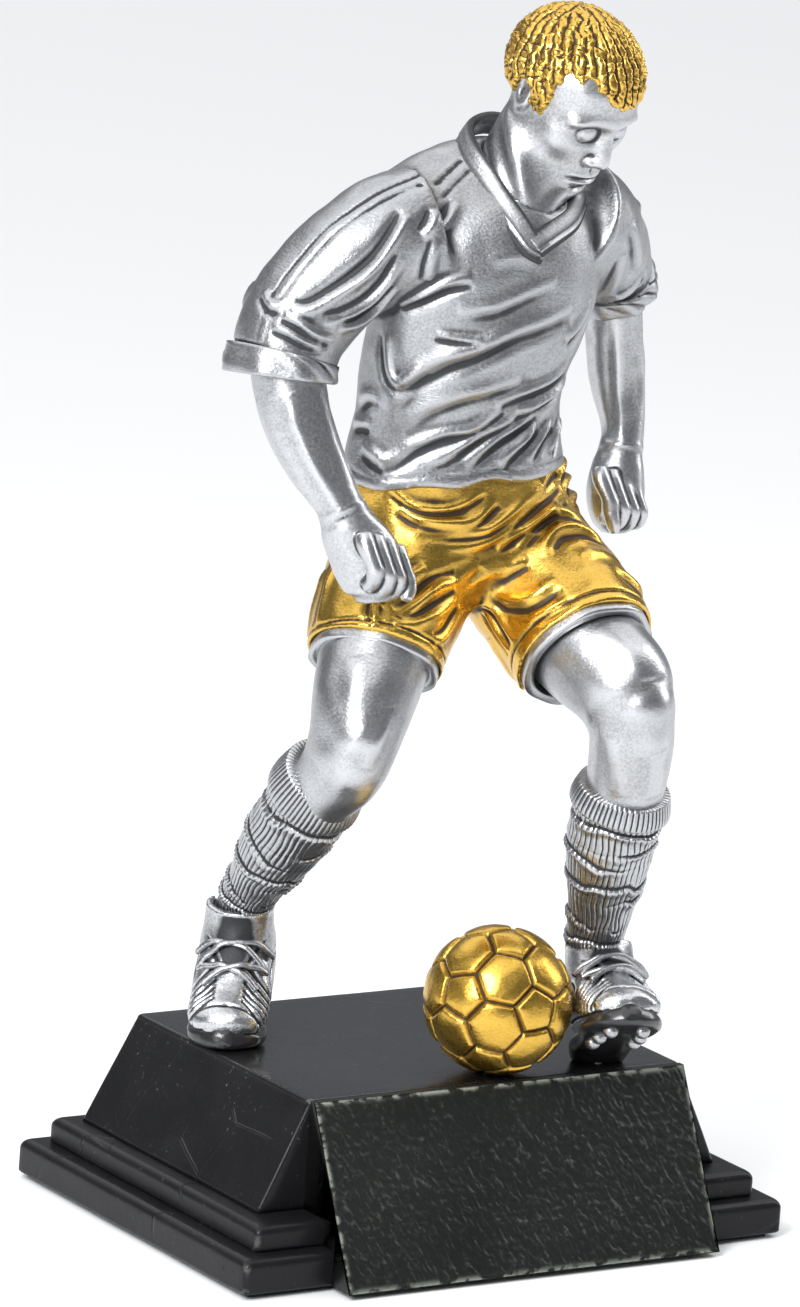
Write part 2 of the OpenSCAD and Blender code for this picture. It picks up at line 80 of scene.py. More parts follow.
def add_camera():
    """A long lens, set back from the point it is aimed at."""
    right, up, forward = camera_axes(CAMERA_AZIMUTH, CAMERA_ELEVATION, CAMERA_ROLL)
    data = bpy.data.cameras.new("camera")
    data.lens = LENS
    data.sensor_width = 36
    data.clip_start, data.clip_end = 0.05, 20
    camera = bpy.data.objects.new("camera", data)
    bpy.context.scene.collection.objects.link(camera)
    matrix = np.eye(4)
    matrix[:3, 0], matrix[:3, 1], matrix[:3, 2] = right, up, -forward
    matrix[:3, 3] = CAMERA_AIM - forward * CAMERA_DISTANCE
    camera.matrix_world = matrix.T.tolist()
    bpy.context.scene.camera = camera


def add_lamp(name, place, aim, width, height, power):
    """A soft rectangular lamp that shines from its place towards its aim."""
    data = bpy.data.lights.new(name, "AREA")
    data.shape = "RECTANGLE"
    data.size, data.size_y = width, height
    data.energy = power
    lamp = bpy.data.objects.new(name, data)
    bpy.context.scene.collection.objects.link(lamp)
    away = np.array(place, float) - np.array(aim, float)
    away /= np.linalg.norm(away)
    side = np.cross([0.0001, 0, 1], away)
    side /= np.linalg.norm(side)
    matrix = np.eye(4)
    matrix[:3, 0], matrix[:3, 1], matrix[:3, 2] = side, np.cross(away, side), away
    matrix[:3, 3] = place
    lamp.matrix_world = matrix.T.tolist()


add_camera()
add_lamp("key_lamp", (-0.62, -0.36, 0.52), (0, 0, 0.12), 0.3, 0.5, 8)
add_lamp("right_lamp", (0.6, -0.1, 0.4), (0, 0, 0.12), 0.12, 0.5, 1.2)
add_lamp("ceiling_lamp", (0, 1.6, 3.2), (0, 1.6001, 0), 7, 7, 200)

world = bpy.data.worlds.new("studio")
world.use_nodes = True
world.node_tree.nodes["Background"].inputs["Color"].default_value = (0.9, 0.93, 1, 1)
world.node_tree.nodes["Background"].inputs["Strength"].default_value = 0.22
bpy.context.scene.world = world
bpy.context.scene.view_settings.view_transform = "Standard"


# A material is written as sums: Wire is one value on its way through the nodes.
class Wire:
    """One output socket. +, - and * with numbers or other wires add Math nodes."""

    def __init__(self, paint, socket):
        self.paint, self.socket = paint, socket

    def math(self, operation, first, second=None):
        values = {0: first} if second is None else {0: first, 1: second}
        return self.paint.node("ShaderNodeMath", {"operation": operation}, values)

    def __add__(self, other):
        return self.math("ADD", self, other)

    def __sub__(self, other):
        return self.math("SUBTRACT", self, other)

    def __rsub__(self, other):
        return self.math("SUBTRACT", other, self)

    def __mul__(self, other):
        return self.math("MULTIPLY", self, other)

    def above(self, low, high):
        """0 below low, 1 over high, and smooth between."""
        return self.paint.node("ShaderNodeMapRange", {"interpolation_type": "SMOOTHSTEP"},
                               {"Value": self, "From Min": low, "From Max": high})

    __radd__, __rmul__ = __add__, __mul__


class Paint:
    """One material on a Principled shader."""

    def __init__(self, name, **constants):
        self.material = bpy.data.materials.new(name)
        self.material.use_nodes = True
        self.tree = self.material.node_tree
        self.shader = self.tree.nodes["Principled BSDF"]
        self.object = self.node("ShaderNodeTexCoord", {}, {}, "Object")
        for socket, value in constants.items():
            self.shader.inputs[socket.replace("_", " ")].default_value = value

    def node(self, kind, settings, values, output=0):
        made = self.tree.nodes.new(kind)
        for key, value in settings.items():
            setattr(made, key, value)
        for key, value in values.items():
            self.feed(made.inputs[key], value)
        return Wire(self, made.outputs[output])

    def feed(self, socket, value):
        if isinstance(value, Wire):
            self.tree.links.new(value.socket, socket)
        else:
            socket.default_value = (*value, 1) if len(np.shape(value)) and len(value) == 3 \
                and socket.type == "RGBA" else value

    def noise(self, size, detail=2.0, stretch=(1, 1, 1)):
        """Soft cloudy noise from 0 to 1, with lumps of about size in metres."""
        place = self.node("ShaderNodeMapping", {}, {"Vector": self.object, "Scale": stretch})
        return self.node("ShaderNodeTexNoise", {}, {"Vector": place, "Scale": 0.5 / size, "Detail": detail})

    def mark(self, name):
        """A value kept on each point of the piece."""
        return self.node("ShaderNodeAttribute", {"attribute_name": name}, {}, "Fac")

    def mix(self, factor, first, second):
        return self.node("ShaderNodeMix", {"data_type": "RGBA"}, {0: factor, 6: first, 7: second}, 2)

    def bump(self, height, depth):
        """Height from 0 to 1 over depth in metres, as a bent normal."""
        return self.node("ShaderNodeBump", {}, {"Height": height, "Distance": depth, "Strength": 1.0})

    def set(self, **values):
        for socket, value in values.items():
            self.feed(self.shader.inputs[socket.replace("_", " ")], value)
        return self.material


TABLE_COLOUR = (0.86, 0.87, 0.88)
TABLE_SIZE = 8.0


def add_table():
    """A square sheet of pale card, with a slow swell in its tone."""
    corners = np.array([[-1, -1, 0], [1, -1, 0], [1, 1, 0], [-1, 1, 0]]) * TABLE_SIZE
    mesh = bpy.data.meshes.new("table")
    mesh.from_pydata(corners.tolist(), [], [[0, 1, 2, 3]])
    table = bpy.data.objects.new("table", mesh)
    bpy.context.scene.collection.objects.link(table)
    card = Paint("pale_card", Roughness=0.8)
    cloud = card.noise(0.4)
    mesh.materials.append(card.set(Base_Color=card.mix(cloud, TABLE_COLOUR, (0.9, 0.9, 0.9))))
    table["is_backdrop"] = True


add_table()

# ---------------------------------------------------------------- Felt pad
# Thin dark felt glued under the lower step, so that the base doesn't scratch a shelf.
# It is cut from sheet, so its own solid is kept, with a matted fibre finish.


def felt():
    """Dark fibres, drawn out one way and matted."""
    paint = Paint("felt", Roughness=0.95, Sheen_Weight=0.4)
    fibre = paint.noise(0.0003, 6.0, (1, 3, 1))
    return paint.set(Base_Color=paint.mix(fibre, (0.012, 0.02, 0.02), (0.05, 0.07, 0.07)),
                     Normal=paint.bump(fibre, 0.0003))


def refinish(node, material):
    """Gives a kept solid its finish."""
    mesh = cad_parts[node].data
    mesh.materials.clear()
    mesh.materials.append(material)


refinish("felt_pad", felt())

# ---------------------------------------------------------------- Steps of the base
# Two moulded slabs with rounded top edges, cast in resin and sprayed with gloss black lacquer.
# Handling has dulled the flats and left pale dust in the angle of each tread.
MM = 0.001
DUST = (0.30, 0.29, 0.27)
LACQUER = (0.006, 0.006, 0.007)


def smoothed(values, pairs, passes):
    """Each point's value moved half way to the mean of its neighbours, passes times."""
    count = np.bincount(pairs.ravel(), minlength=len(values))
    for _ in range(passes):
        total = [np.bincount(pairs[:, 0], v[pairs[:, 1]], len(values))
                 + np.bincount(pairs[:, 1], v[pairs[:, 0]], len(values))
                 for v in values.reshape(len(values), -1).T]
        values = 0.5 * values + 0.5 * (np.array(total) / np.maximum(count, 1)).T.reshape(values.shape)
    return values


def neighbours(quads):
    """Both ends of every side of every face."""
    return np.concatenate([quads[:, [i, (i + 1) % quads.shape[1]]] for i in range(quads.shape[1])])


def facing(points, quads):
    """Unit normal at each point: the sum of the cross products of its faces' diagonals."""
    across = np.cross(points[quads[:, 2]] - points[quads[:, 0]], points[quads[:, 3]] - points[quads[:, 1]])
    total = np.stack([sum(np.bincount(quads[:, i], a, len(points)) for i in range(4)) for a in across.T], 1)
    return total / np.maximum(np.linalg.norm(total, axis=1, keepdims=True), 1e-12)


def hollow_of(points, quads, passes=3):
    """How hollow the skin is at each point, in 1/mm: how far its neighbours stand above it along
    its normal, over the square of their distance, evened out by a few passes."""
    pairs = neighbours(quads)
    normal = facing(points, quads)
    step = points[pairs[:, 1]] - points[pairs[:, 0]]
    count = np.maximum(np.bincount(pairs.ravel(), minlength=len(points)), 1)
    rise = (np.bincount(pairs[:, 0], (step * normal[pairs[:, 0]]).sum(1), len(points))
            - np.bincount(pairs[:, 1], (step * normal[pairs[:, 1]]).sum(1), len(points)))
    reach = (np.bincount(pairs[:, 0], (step ** 2).sum(1), len(points))
             + np.bincount(pairs[:, 1], (step ** 2).sum(1), len(points)))
    return smoothed(4 * (rise / count) / np.maximum(reach / count, 1e-9), pairs, passes)


def cast(name, points, faces, material, slot, nodes, **marks):
    """Makes a piece from points in millimetres and arrays of faces, and fixes it on the trophy."""
    mesh = bpy.data.meshes.new(name)
    mesh.vertices.add(len(points))
    mesh.vertices.foreach_set("co", (np.asarray(points) * MM).astype(np.float32).ravel())
    faces = [f for f in faces if len(f)]
    sizes = np.concatenate([np.full(len(f), f.shape[1]) for f in faces])
    mesh.loops.add(int(sizes.sum()))
    mesh.polygons.add(len(sizes))
    mesh.loops.foreach_set("vertex_index", np.concatenate([f.ravel() for f in faces]).astype(np.int32))
    mesh.polygons.foreach_set("loop_start", np.concatenate([[0], np.cumsum(sizes)[:-1]]).astype(np.int32))
    mesh.polygons.foreach_set("use_smooth", np.ones(len(sizes), bool))
    for mark, values in marks.items():
        mesh.attributes.new(mark, "FLOAT", "POINT").data.foreach_set("value", values.astype(np.float32))
    mesh.update(calc_edges=True)
    mesh.materials.append(material)
    piece = bpy.data.objects.new(name, mesh)
    bpy.context.scene.collection.objects.link(piece)
    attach(piece, "root")
    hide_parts(*nodes)


def net(rings, around, closed=False):
    """Faces of a grid of rings, each joined to the next, wound so that they face outwards."""
    i = np.arange(rings if closed else rings - 1)[:, None]
    j = np.arange(around)[None]
    a, b = i * around, (i + 1) % rings * around
    k = (j + 1) % around
    return np.stack([a + j, a + k, b + k, b + j], -1).reshape(-1, 4)


def ends(rings, around):
    """Triangles that close the first and the last ring to the two points after the grid."""
    j = np.arange(around)
    k = (j + 1) % around
    last = (rings - 1) * around
    low = np.stack([np.full(around, rings * around), k, j], 1)
    high = np.stack([np.full(around, rings * around + 1), last + j, last + k], 1)
    return np.vstack([low, high])


def lattice_noise(points, size, seed):
    """Smooth noise from -1 to 1: random values on a lattice of cells of that size, blended
    between the eight corners with 3t^2 - 2t^3."""
    table = np.random.default_rng(seed).uniform(-1, 1, (32, 32, 32))
    cell = points / size
    whole = np.floor(cell).astype(int)
    t = cell - whole
    t = t * t * (3 - 2 * t)
    value = np.zeros(len(points))
    for corner in np.ndindex(2, 2, 2):
        weight = np.prod(np.where(np.array(corner), t, 1 - t), axis=1)
        x, y, z = ((whole + corner) % 32).T
        value += weight * table[x, y, z]
    return value


def stacked(rectangles, corner, wobble, seed):
    """A pile of rounded rectangles, x0, x1, y0, y1, z in millimetres, joined into one skin. Each
    ring runs along four straight sides and four quarter arcs, and the skin wanders by wobble."""
    side, arc = 60, 6
    rings = []
    for x0, x1, y0, y1, z in rectangles:
        r = min(corner, (x1 - x0) / 2.1, (y1 - y0) / 2.1)
        turn = np.linspace(0, np.pi / 2, arc)
        parts = []
        centres = [(x1 - r, y0 + r), (x1 - r, y1 - r), (x0 + r, y1 - r), (x0 + r, y0 + r)]
        for n, (cx, cy) in enumerate(centres):
            angle = turn - np.pi / 2 + n * np.pi / 2
            parts.append(np.stack([cx + r * np.cos(angle), cy + r * np.sin(angle)], 1))
        run = []
        for n in range(4):
            a, b = parts[n][-1], parts[(n + 1) % 4][0]
            run += [parts[n], a + (b - a) * np.linspace(0, 1, side + 2)[1:-1, None]]
        ring = np.vstack(run)
        rings.append(np.column_stack([ring, np.full(len(ring), z)]))
    around = len(rings[0])
    points = np.vstack(rings)
    middle = [[points[:around, 0].mean(), points[:around, 1].mean(), rectangles[0][4]],
              [points[-around:, 0].mean(), points[-around:, 1].mean(), rectangles[-1][4]]]
    points[:, :2] += wobble * np.stack([lattice_noise(points, 9.0, seed + i) for i in (0, 1)], 1)
    points = np.vstack([points, middle])
    return points, net(len(rings), around), ends(len(rings), around)


def box_mm(node):
    """A node's lowest and highest corner, in millimetres."""
    low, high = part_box(node)
    return np.array(low) / MM, np.array(high) / MM


def rounded_top(low, high, edge, levels=8):
    """Rectangles of a slab whose top edge is a quarter round of radius edge."""
    rows = [(0.25, low[2]), (0.0, low[2] + 0.3)]
    rows += [(0.0, z) for z in np.linspace(low[2] + 0.6, high[2] - edge, levels)[:-1]]
    for a in np.linspace(0, np.pi / 2, levels):
        rows.append((edge - edge * math.cos(a), high[2] - edge + edge * math.sin(a)))
    rows += [(inset, high[2]) for inset in (3.0, 6.0, 12.0)]
    return [(low[0] + d, high[0] - d, low[1] + d, high[1] - d, z) for d, z in rows]


def lacquer(name, roughness, haze):
    """Gloss black over resin: fine orange peel, long hair scratches and pale dust low down."""
    paint = Paint(name, Metallic=0.0, Coat_Roughness=0.16, Specular_IOR_Level=0.2)
    cloud = paint.noise(0.006, 3.0)
    peel = paint.noise(0.0009, 2.0)
    speck = paint.noise(0.00035, 2.0).above(0.66, 0.74)
    warped = paint.node("ShaderNodeMix", {"data_type": "VECTOR"},
                        {0: 0.012, 4: paint.object, 5: paint.noise(0.02, 2.0)}, 1)
    cracks = paint.node("ShaderNodeTexVoronoi", {"feature": "DISTANCE_TO_EDGE"},
                        {"Vector": warped, "Scale": 52.0})
    scratch = (1 - cracks.above(0.004, 0.02)) * paint.noise(0.009, 1.0).above(0.5, 0.62)
    wear = paint.mark("hollow") * -1.0
    edge = wear.above(0.35, 1.1) * paint.noise(0.0012, 3.0).above(0.45, 0.62)
    dust = paint.mark("hollow").above(0.1, 0.5) * 0.6 + speck * 0.35 * cloud.above(0.4, 0.7)
    shade = paint.mix(dust, paint.mix(cloud * haze, LACQUER, (0.05, 0.05, 0.052)), DUST)
    shade = paint.mix(edge * 0.5, shade, (0.16, 0.16, 0.15))
    height = peel * 0.25 + cloud * 0.6 - scratch * 0.8
    flat = paint.mark("level").above(0.8, 0.97)
    return paint.set(Base_Color=shade, Normal=paint.bump(height, 0.00012), Coat_Weight=flat * 0.9,
                     Roughness=cloud * 0.16 + (roughness + speck * 0.3) + dust * 0.3)


step_lacquer = lacquer("step_lacquer", 0.24, 0.15)
for step, edge in (("lower_step", 1.6), ("upper_step", 1.6)):
    low, high = box_mm(step)
    points, quads, caps = stacked(rounded_top(low, high, edge), 1.1, 0.09, 3)
    cast(step + "_moulding", points, [quads, caps], step_lacquer, "black_lacquer", [step],
         hollow=hollow_of(points, quads), level=0 * points[:, 0])

# ---------------------------------------------------------------- Plinth body
# A solid block that leans in at both ends and the back, cast in one pour with a flat top.
# Its edges are rubbed by hand, and its lacquer is scratched.
BODY_EDGE = 0.7
body_low, body_high = box_mm("plinth_body")
plate_low, plate_high = box_mm("name_panel")
PLATE = body_high[2]
LEAN = body_high[0] - plate_high[0]
BACK_LEAN = 1.5


def plinth_rows():
    """Rectangles that shrink evenly from the foot to the top, where a quarter round ends them."""
    rows = []
    for t in np.linspace(0, 1, 24):
        z = body_low[2] + t * (PLATE - BODY_EDGE - body_low[2])
        s = (z - body_low[2]) / (PLATE - body_low[2])
        rows.append((body_low[0] + LEAN * s, body_high[0] - LEAN * s, body_low[1],
                     body_high[1] - BACK_LEAN * s, z))
    x0, x1, y0, y1, _ = rows[-1]
    for a in np.linspace(0.2, np.pi / 2, 6):
        d, z = BODY_EDGE * (1 - math.cos(a)), PLATE - BODY_EDGE + BODY_EDGE * math.sin(a)
        rows.append((x0 + d, x1 - d, y0 + d, y1 - d, z))
    return rows + [(x0 + d, x1 - d, y0 + d, y1 - d, PLATE) for d in (3, 9, 18)]


points, quads, caps = stacked(plinth_rows(), 0.9, 0.12, 11)
cast("plinth_casting", points, [quads, caps], lacquer("plinth_lacquer", 0.2, 0.2), "black_lacquer",
     ["plinth_body"], hollow=hollow_of(points, quads), level=(points[:, 2] > PLATE - 0.05) * 1.0)

# ---------------------------------------------------------------- Name panel
# A wedge in front of the body and the steps, with a sloping face that is left blank for a plate.
# The face was cast from crinkled rock-finish sheet: rough black, with pale chipped edges.
FACE_ROWS, FACE_COLUMNS = 150, 330
ROCK_DEPTH = 0.26


def crinkle(x, up):
    """Height of the rock finish: ridged noise, 1 - |noise|, at three sizes, stretched upwards."""
    height = np.zeros(x.size)
    for size, share, seed in ((2.1, 0.35, 1), (0.95, 0.4, 2), (0.5, 0.3, 4)):
        lean = np.stack([(x + 0.35 * up).ravel() / size, up.ravel() / (1.7 * size),
                         np.full(x.size, 0.37 * seed)], 1)
        height += share * (1 - 2.4 * np.abs(lattice_noise(lean, 1.0, seed)))
    return height.reshape(x.shape)


def name_panel():
    """A closed outline in the YZ plane, carried along X; its sloping side is pushed out by crinkle."""
    foot, front = plate_low[1], plate_low[2]
    top_front = foot + 15.0
    step1, step2 = box_mm("lower_step"), box_mm("upper_step")
    corners = [(foot, front), (step1[0][1], front), (step1[0][1], step1[1][2]),
               (step2[0][1], step1[1][2]), (step2[0][1], step2[1][2]), (body_low[1], step2[1][2]),
               (body_low[1], PLATE), (top_front, PLATE)]
    shares = [6, 3, 3, 3, 6, 12, 6, FACE_ROWS]
    outline = np.vstack([np.linspace(corners[i], corners[(i + 1) % 8], shares[i],
                                     endpoint=False) for i in range(8)])
    sloped = np.zeros(len(outline))
    sloped[-FACE_ROWS:] = 1
    down = np.zeros(len(outline))
    down[-FACE_ROWS:] = np.linspace(0, 1, FACE_ROWS)
    x = np.linspace(plate_low[0], plate_high[0], FACE_COLUMNS)
    grid = np.zeros((FACE_COLUMNS, len(outline), 3))
    grid[..., 0] = x[:, None]
    grid[..., 1:] = outline[None]
    length = math.hypot(top_front - foot, PLATE - front)
    out = np.array([0, -(PLATE - front), top_front - foot]) / length
    up = (1 - down)[None] * length + 0 * x[:, None]
    margin = np.minimum(np.minimum(x - x[0], x[-1] - x)[:, None], np.minimum(up, length - up))
    rock = crinkle(grid[..., 0], up)
    push = np.where(sloped[None] > 0, ROCK_DEPTH * rock * np.clip(margin / 1.2, 0.15, 1), 0)
    push = push - np.where(sloped[None] > 0, 0.35 * np.exp(-(margin / 0.45) ** 2), 0)
    swell = 0.25 * lattice_noise(np.stack([grid[..., 0].ravel() / 14, up.ravel() / 14, 0 * up.ravel()], 1),
                                 1.0, 8)
    push = push + sloped[None] * swell.reshape(push.shape) * np.clip(margin / 4, 0, 1) - 0.12 * sloped[None]
    grid += push[..., None] * out
    middle = [step1[0][1] - 0.2, step2[1][2] + 0.5]
    points = np.vstack([grid.reshape(-1, 3), [[x[0], *middle], [x[-1], *middle]]])
    edge = np.append(np.where(sloped[None] > 0, np.exp(-(margin / 0.5) ** 2), 0).ravel(), [0, 0])
    rise = np.append(np.where(sloped[None] > 0, 0.5 + 0.5 * rock, 0.2).ravel(), [0, 0])
    return points, net(FACE_COLUMNS, len(outline)), ends(FACE_COLUMNS, len(outline)), edge, rise


def rock_finish():
    """Rough black with painted grey-green glints on its crests and pale chips along the edges."""
    paint = Paint("rock_finish", Specular_IOR_Level=0.25, Coat_Weight=0.0)
    grit = paint.noise(0.0004, 4.0)
    cloud = paint.noise(0.01, 3.0)
    chip = paint.mark("edge") * paint.noise(0.0011, 4.0).above(0.42, 0.55)
    # Painted highlight: the tallest crests of the crinkle are coloured pale grey-green as glints.
    painted_glint = paint.mark("rise").above(0.72, 1.0) * grit.above(0.45, 0.7) * cloud.above(0.3, 0.62)
    base = paint.mix(cloud, (0.006, 0.0065, 0.006), (0.016, 0.018, 0.016))
    base = paint.mix(painted_glint * 0.5, base, (0.11, 0.13, 0.115))
    return paint.set(Base_Color=paint.mix(chip * 0.9, base, (0.34, 0.37, 0.31)),
                     Roughness=grit * 0.25 + 0.24 + chip * 0.4, Normal=paint.bump(grit, 0.00012))


points, quads, caps, edge, rise = name_panel()
cast("name_panel_casting", points, [quads, caps], rock_finish(), "black_rock_finish", ["name_panel"],
     edge=edge, rise=rise)

# ---------------------------------------------------------------- Rods, washers, nuts and ball pin
# Threaded steel rod, plain washers and hex nuts that pull the player down on the base, and a
# steel pin under the ball. All are zinc plated and hidden, so their turned solids are kept.


def zinc():
    """Pale plating, with the fine streaks of turning."""
    paint = Paint("zinc_plate", Metallic=1.0)
    streak = paint.noise(0.0006, 4.0, (1, 1, 6))
    return paint.set(Base_Color=paint.mix(streak, (0.5, 0.5, 0.48), (0.68, 0.68, 0.62)),
                     Roughness=streak * 0.2 + 0.25, Normal=paint.bump(streak, 0.00003))


zinc_plate = zinc()
for node in ("right_leg_rod", "left_leg_rod", "rod_washers", "rod_nuts", "ball_pin"):
    refinish(node, zinc_plate)

# ---------------------------------------------------------------- Ball
# A resin ball with twelve five-sided and twenty six-sided panels that swell between wide seams,
# brushed with gold paint over a dark undercoat, which still shows in the seams.
GOLD = (0.78, 0.5, 0.11)
GOLD_DARK = (0.036, 0.018, 0.004)
BALL_TURN = (-12, 8, -34)
BALL_RINGS, BALL_AROUND = 190, 380
SEAM_DEPTH, SEAM_WIDTH, SWELL = 0.75, 0.34, 0.34


def turned(points, about_x, about_y, about_z):
    """Points turned about X, then Y, then Z, in degrees."""
    for axis, degrees in ((0, about_x), (1, about_y), (2, about_z)):
        a = math.radians(degrees)
        i, j = (axis + 1) % 3, (axis + 2) % 3
        m = np.eye(3)
        m[i, i], m[i, j], m[j, i], m[j, j] = math.cos(a), -math.sin(a), math.sin(a), math.cos(a)
        points = points @ m.T
    return points


def panel_centres():
    """Directions of the 12 five-sided panels (corners of an icosahedron) and of the 20
    six-sided ones (the sums of three corners that are next to each other)."""
    phi = (1 + 5 ** 0.5) / 2
    fives = np.array([np.roll([0, a, b * phi], s) for s in range(3) for a in (-1, 1) for b in (-1, 1)])
    fives /= np.linalg.norm(fives, axis=1)[:, None]
    near = fives @ fives.T > 0.4
    sixes = [fives[i] + fives[j] + fives[k] for i in range(12) for j in range(i) for k in range(j)
             if near[i, j] and near[j, k] and near[i, k]]
    sixes = np.array(sixes)
    return fives, sixes / np.linalg.norm(sixes, axis=1)[:, None]


def ball():
    """A sphere as rings of latitude; each point is lowered by how near it is to the seam between
    the two panels whose planes it meets first."""
    low, high = box_mm("ball")
    radius = (high[0] - low[0]) / 2
    centre = np.array([(low[0] + high[0]) / 2, (low[1] + high[1]) / 2, high[2] - radius])
    polar = np.linspace(0, np.pi, BALL_RINGS + 2)[1:-1][:, None]
    turn = np.linspace(0, 2 * np.pi, BALL_AROUND, endpoint=False)[None]
    ray = np.stack([np.sin(polar) * np.cos(turn), np.sin(polar) * np.sin(turn),
                    -np.cos(polar) + 0 * turn], -1)
    ray = np.vstack([ray.reshape(-1, 3), [[0, 0, -1], [0, 0, 1]]])
    fives, sixes = panel_centres()
    planes = turned(np.vstack([fives / 2.3274, sixes / 2.2673]), *BALL_TURN)
    reach = np.sort(ray @ planes.T, axis=1)
    gap = (reach[:, -1] - reach[:, -2]) * radius * 3.1 + 0.05 * lattice_noise(ray * radius, 0.9, 5)
    height = -SWELL * np.exp(-np.clip(gap, 0, 9) / 0.9)
    height = height - SEAM_DEPTH * np.exp(-(gap / SEAM_WIDTH) ** 2)
    height = height + 0.05 * lattice_noise(ray * radius, 1.6, 6)
    points = centre + ray * (radius + height)[:, None]
    points[:, 2] = np.maximum(points[:, 2], PLATE)
    dark = np.exp(-(gap / 0.42) ** 2)
    return points, net(BALL_RINGS, BALL_AROUND), ends(BALL_RINGS, BALL_AROUND), dark


def metal_paint(name, bright, pale, dark, grain, roughness, wash, low_hollow, high_hollow):
    """Metal paint over a dark undercoat. The undercoat shows where the skin is hollow and the brush
    missed; crests are rubbed bright; the surface has the fine grain of dry brushing."""
    paint = Paint(name)
    fine = paint.noise(0.00022, 3.0)
    brushed = paint.noise(0.0005, 4.0, (1.0, 1.0, 3.0))
    patch = paint.noise(0.004, 3.0)
    hollow = paint.mark("hollow") + (brushed - 0.5) * 0.22
    mask = hollow.above(low_hollow, high_hollow) * wash
    missed = fine.above(0.7, 0.8) * patch.above(0.5, 0.64) * 0.5
    tone = paint.mix(fine.above(0.3, 0.7) * 0.55 + patch * 0.3, bright, pale)
    rub = (paint.mark("hollow") * -1.0).above(0.05, 0.45)
    tone = paint.mix(rub * 0.5, tone, pale)
    shade = paint.mix(mask + missed * (1 - mask), tone, dark)
    return paint.set(Base_Color=shade, Metallic=1 - mask * 0.75,
                     Roughness=fine * 0.14 + roughness + mask * 0.22 - rub * 0.05,
                     Normal=paint.bump(fine * 0.6 + brushed * 0.7, grain))


points, quads, caps, dark = ball()
gold_ball = metal_paint("gold_on_ball", (0.62, 0.37, 0.05), GOLD, GOLD_DARK, grain=0.00005,
                        roughness=0.22, wash=1.0, low_hollow=0.35, high_hollow=0.95)
cast("ball_casting", points, [quads, caps], gold_ball, "gold_paint", ["ball"], hollow=dark)

# ---------------------------------------------------------------- Boots and soles
# The player is cast in one, and each garment is carved on it. The boots are silver uppers with
# a low collar, a tongue under crossed laces, raised fins over the toes and a black studded sole.
BOOT = [[-0.8, 6.5, 2.4, 3.6], [1, 8, 4.8, 6.6], [4.5, 9.2, 6.2, 8.2], [9.5, 8.9, 6.8, 8],
        [14, 7.2, 7, 6.4], [18.5, 5.6, 7.1, 4.8], [22.3, 4.6, 6.6, 3.8], [24.8, 3.9, 5, 2.9],
        [26, 3.4, 2.2, 1.4]]
SOLE = [[-1, 1.6, 2.2, 1.2], [1.5, 1.2, 5, 1.2], [6, 1.2, 6, 1.2], [12, 1.2, 6, 1.2], [18.5, 1.2, 7.3, 1.2],
        [22.6, 1.3, 6.7, 1.2], [25.3, 1.6, 4.6, 1.2], [26.8, 2, 2, 0.9]]
BOOT_TOP = [[7.6, 0, 9, 5.8, 5.2], [7.4, 0, 14, 6, 5.3], [7, 0, 18.8, 5.9, 5.2]]
BALL_OF_FOOT, HEEL_LIFT = 17, 8
LACE_AT = [11.4, 15.0, 18.6]
STUD_AT = [[13.6, 3.6], [13.6, -3.6], [18, 3.6], [18, -3.6], [22.8, 2.8], [22.8, -2.8]]


def unit(v):
    """Vectors brought to length 1."""
    return v / np.maximum(np.linalg.norm(v, axis=-1, keepdims=True), 1e-12)


def curve(rows, t):
    """The Catmull-Rom curve through rows, at places t counted in rows."""
    rows = np.asarray(rows, float)
    t = np.asarray(t, float)
    chain = np.vstack([2 * rows[0] - rows[1], rows, 2 * rows[-1] - rows[-2]])
    i = np.clip(np.floor(t).astype(int), 0, len(rows) - 2)
    f = (t - i)[..., None]
    a, b, c, d = (chain[i + s] for s in range(4))
    square, cube = 2 * a - 5 * b + 4 * c - d, 3 * b - a - 3 * c + d
    return 0.5 * (2 * b + (c - a) * f + square * f ** 2 + cube * f ** 3)


def skin_point(rows, side, t, degrees, proud=0.0, power=1.0):
    """A point on a limb: the ellipse at place t, at an angle counted from the side vector."""
    row = curve(rows, t)
    along = unit(curve(rows, np.asarray(t) + 0.02)[..., :3] - curve(rows, np.asarray(t) - 0.02)[..., :3])
    side = np.asarray(side, float)
    e = unit(side - (along @ side)[..., None] * along)
    f = np.cross(along, e)
    angle = np.radians(degrees)
    cos, sin = np.cos(angle), np.sin(angle)
    if power != 1.0:
        cos, sin = np.sign(cos) * np.abs(cos) ** power, np.sign(sin) * np.abs(sin) ** power
    proud = np.asarray(proud)
    return (row[..., :3] + e * ((row[..., 3] + proud) * cos)[..., None]
            + f * ((row[..., 4] + proud) * sin)[..., None])


def limb(rows, side=(1, 0, 0), around=72, per_row=10, proud=0.0, power=1.0, shift=None):
    """A closed limb: rings of ellipses along the curve, each end closed to its middle."""
    t = np.linspace(0, len(rows) - 1, (len(rows) - 1) * per_row + 1)[:, None]
    degrees = np.linspace(0, 360, around, endpoint=False)[None]
    t, degrees = np.broadcast_arrays(t, degrees)
    raised = proud if shift is None else proud + shift(t, degrees)
    points = skin_point(rows, side, t, degrees, raised, power)
    points = np.vstack([points.reshape(-1, 3), curve(rows, [0, len(rows) - 1])[:, :3]])
    return points, net(len(t), around), ends(len(t), around)


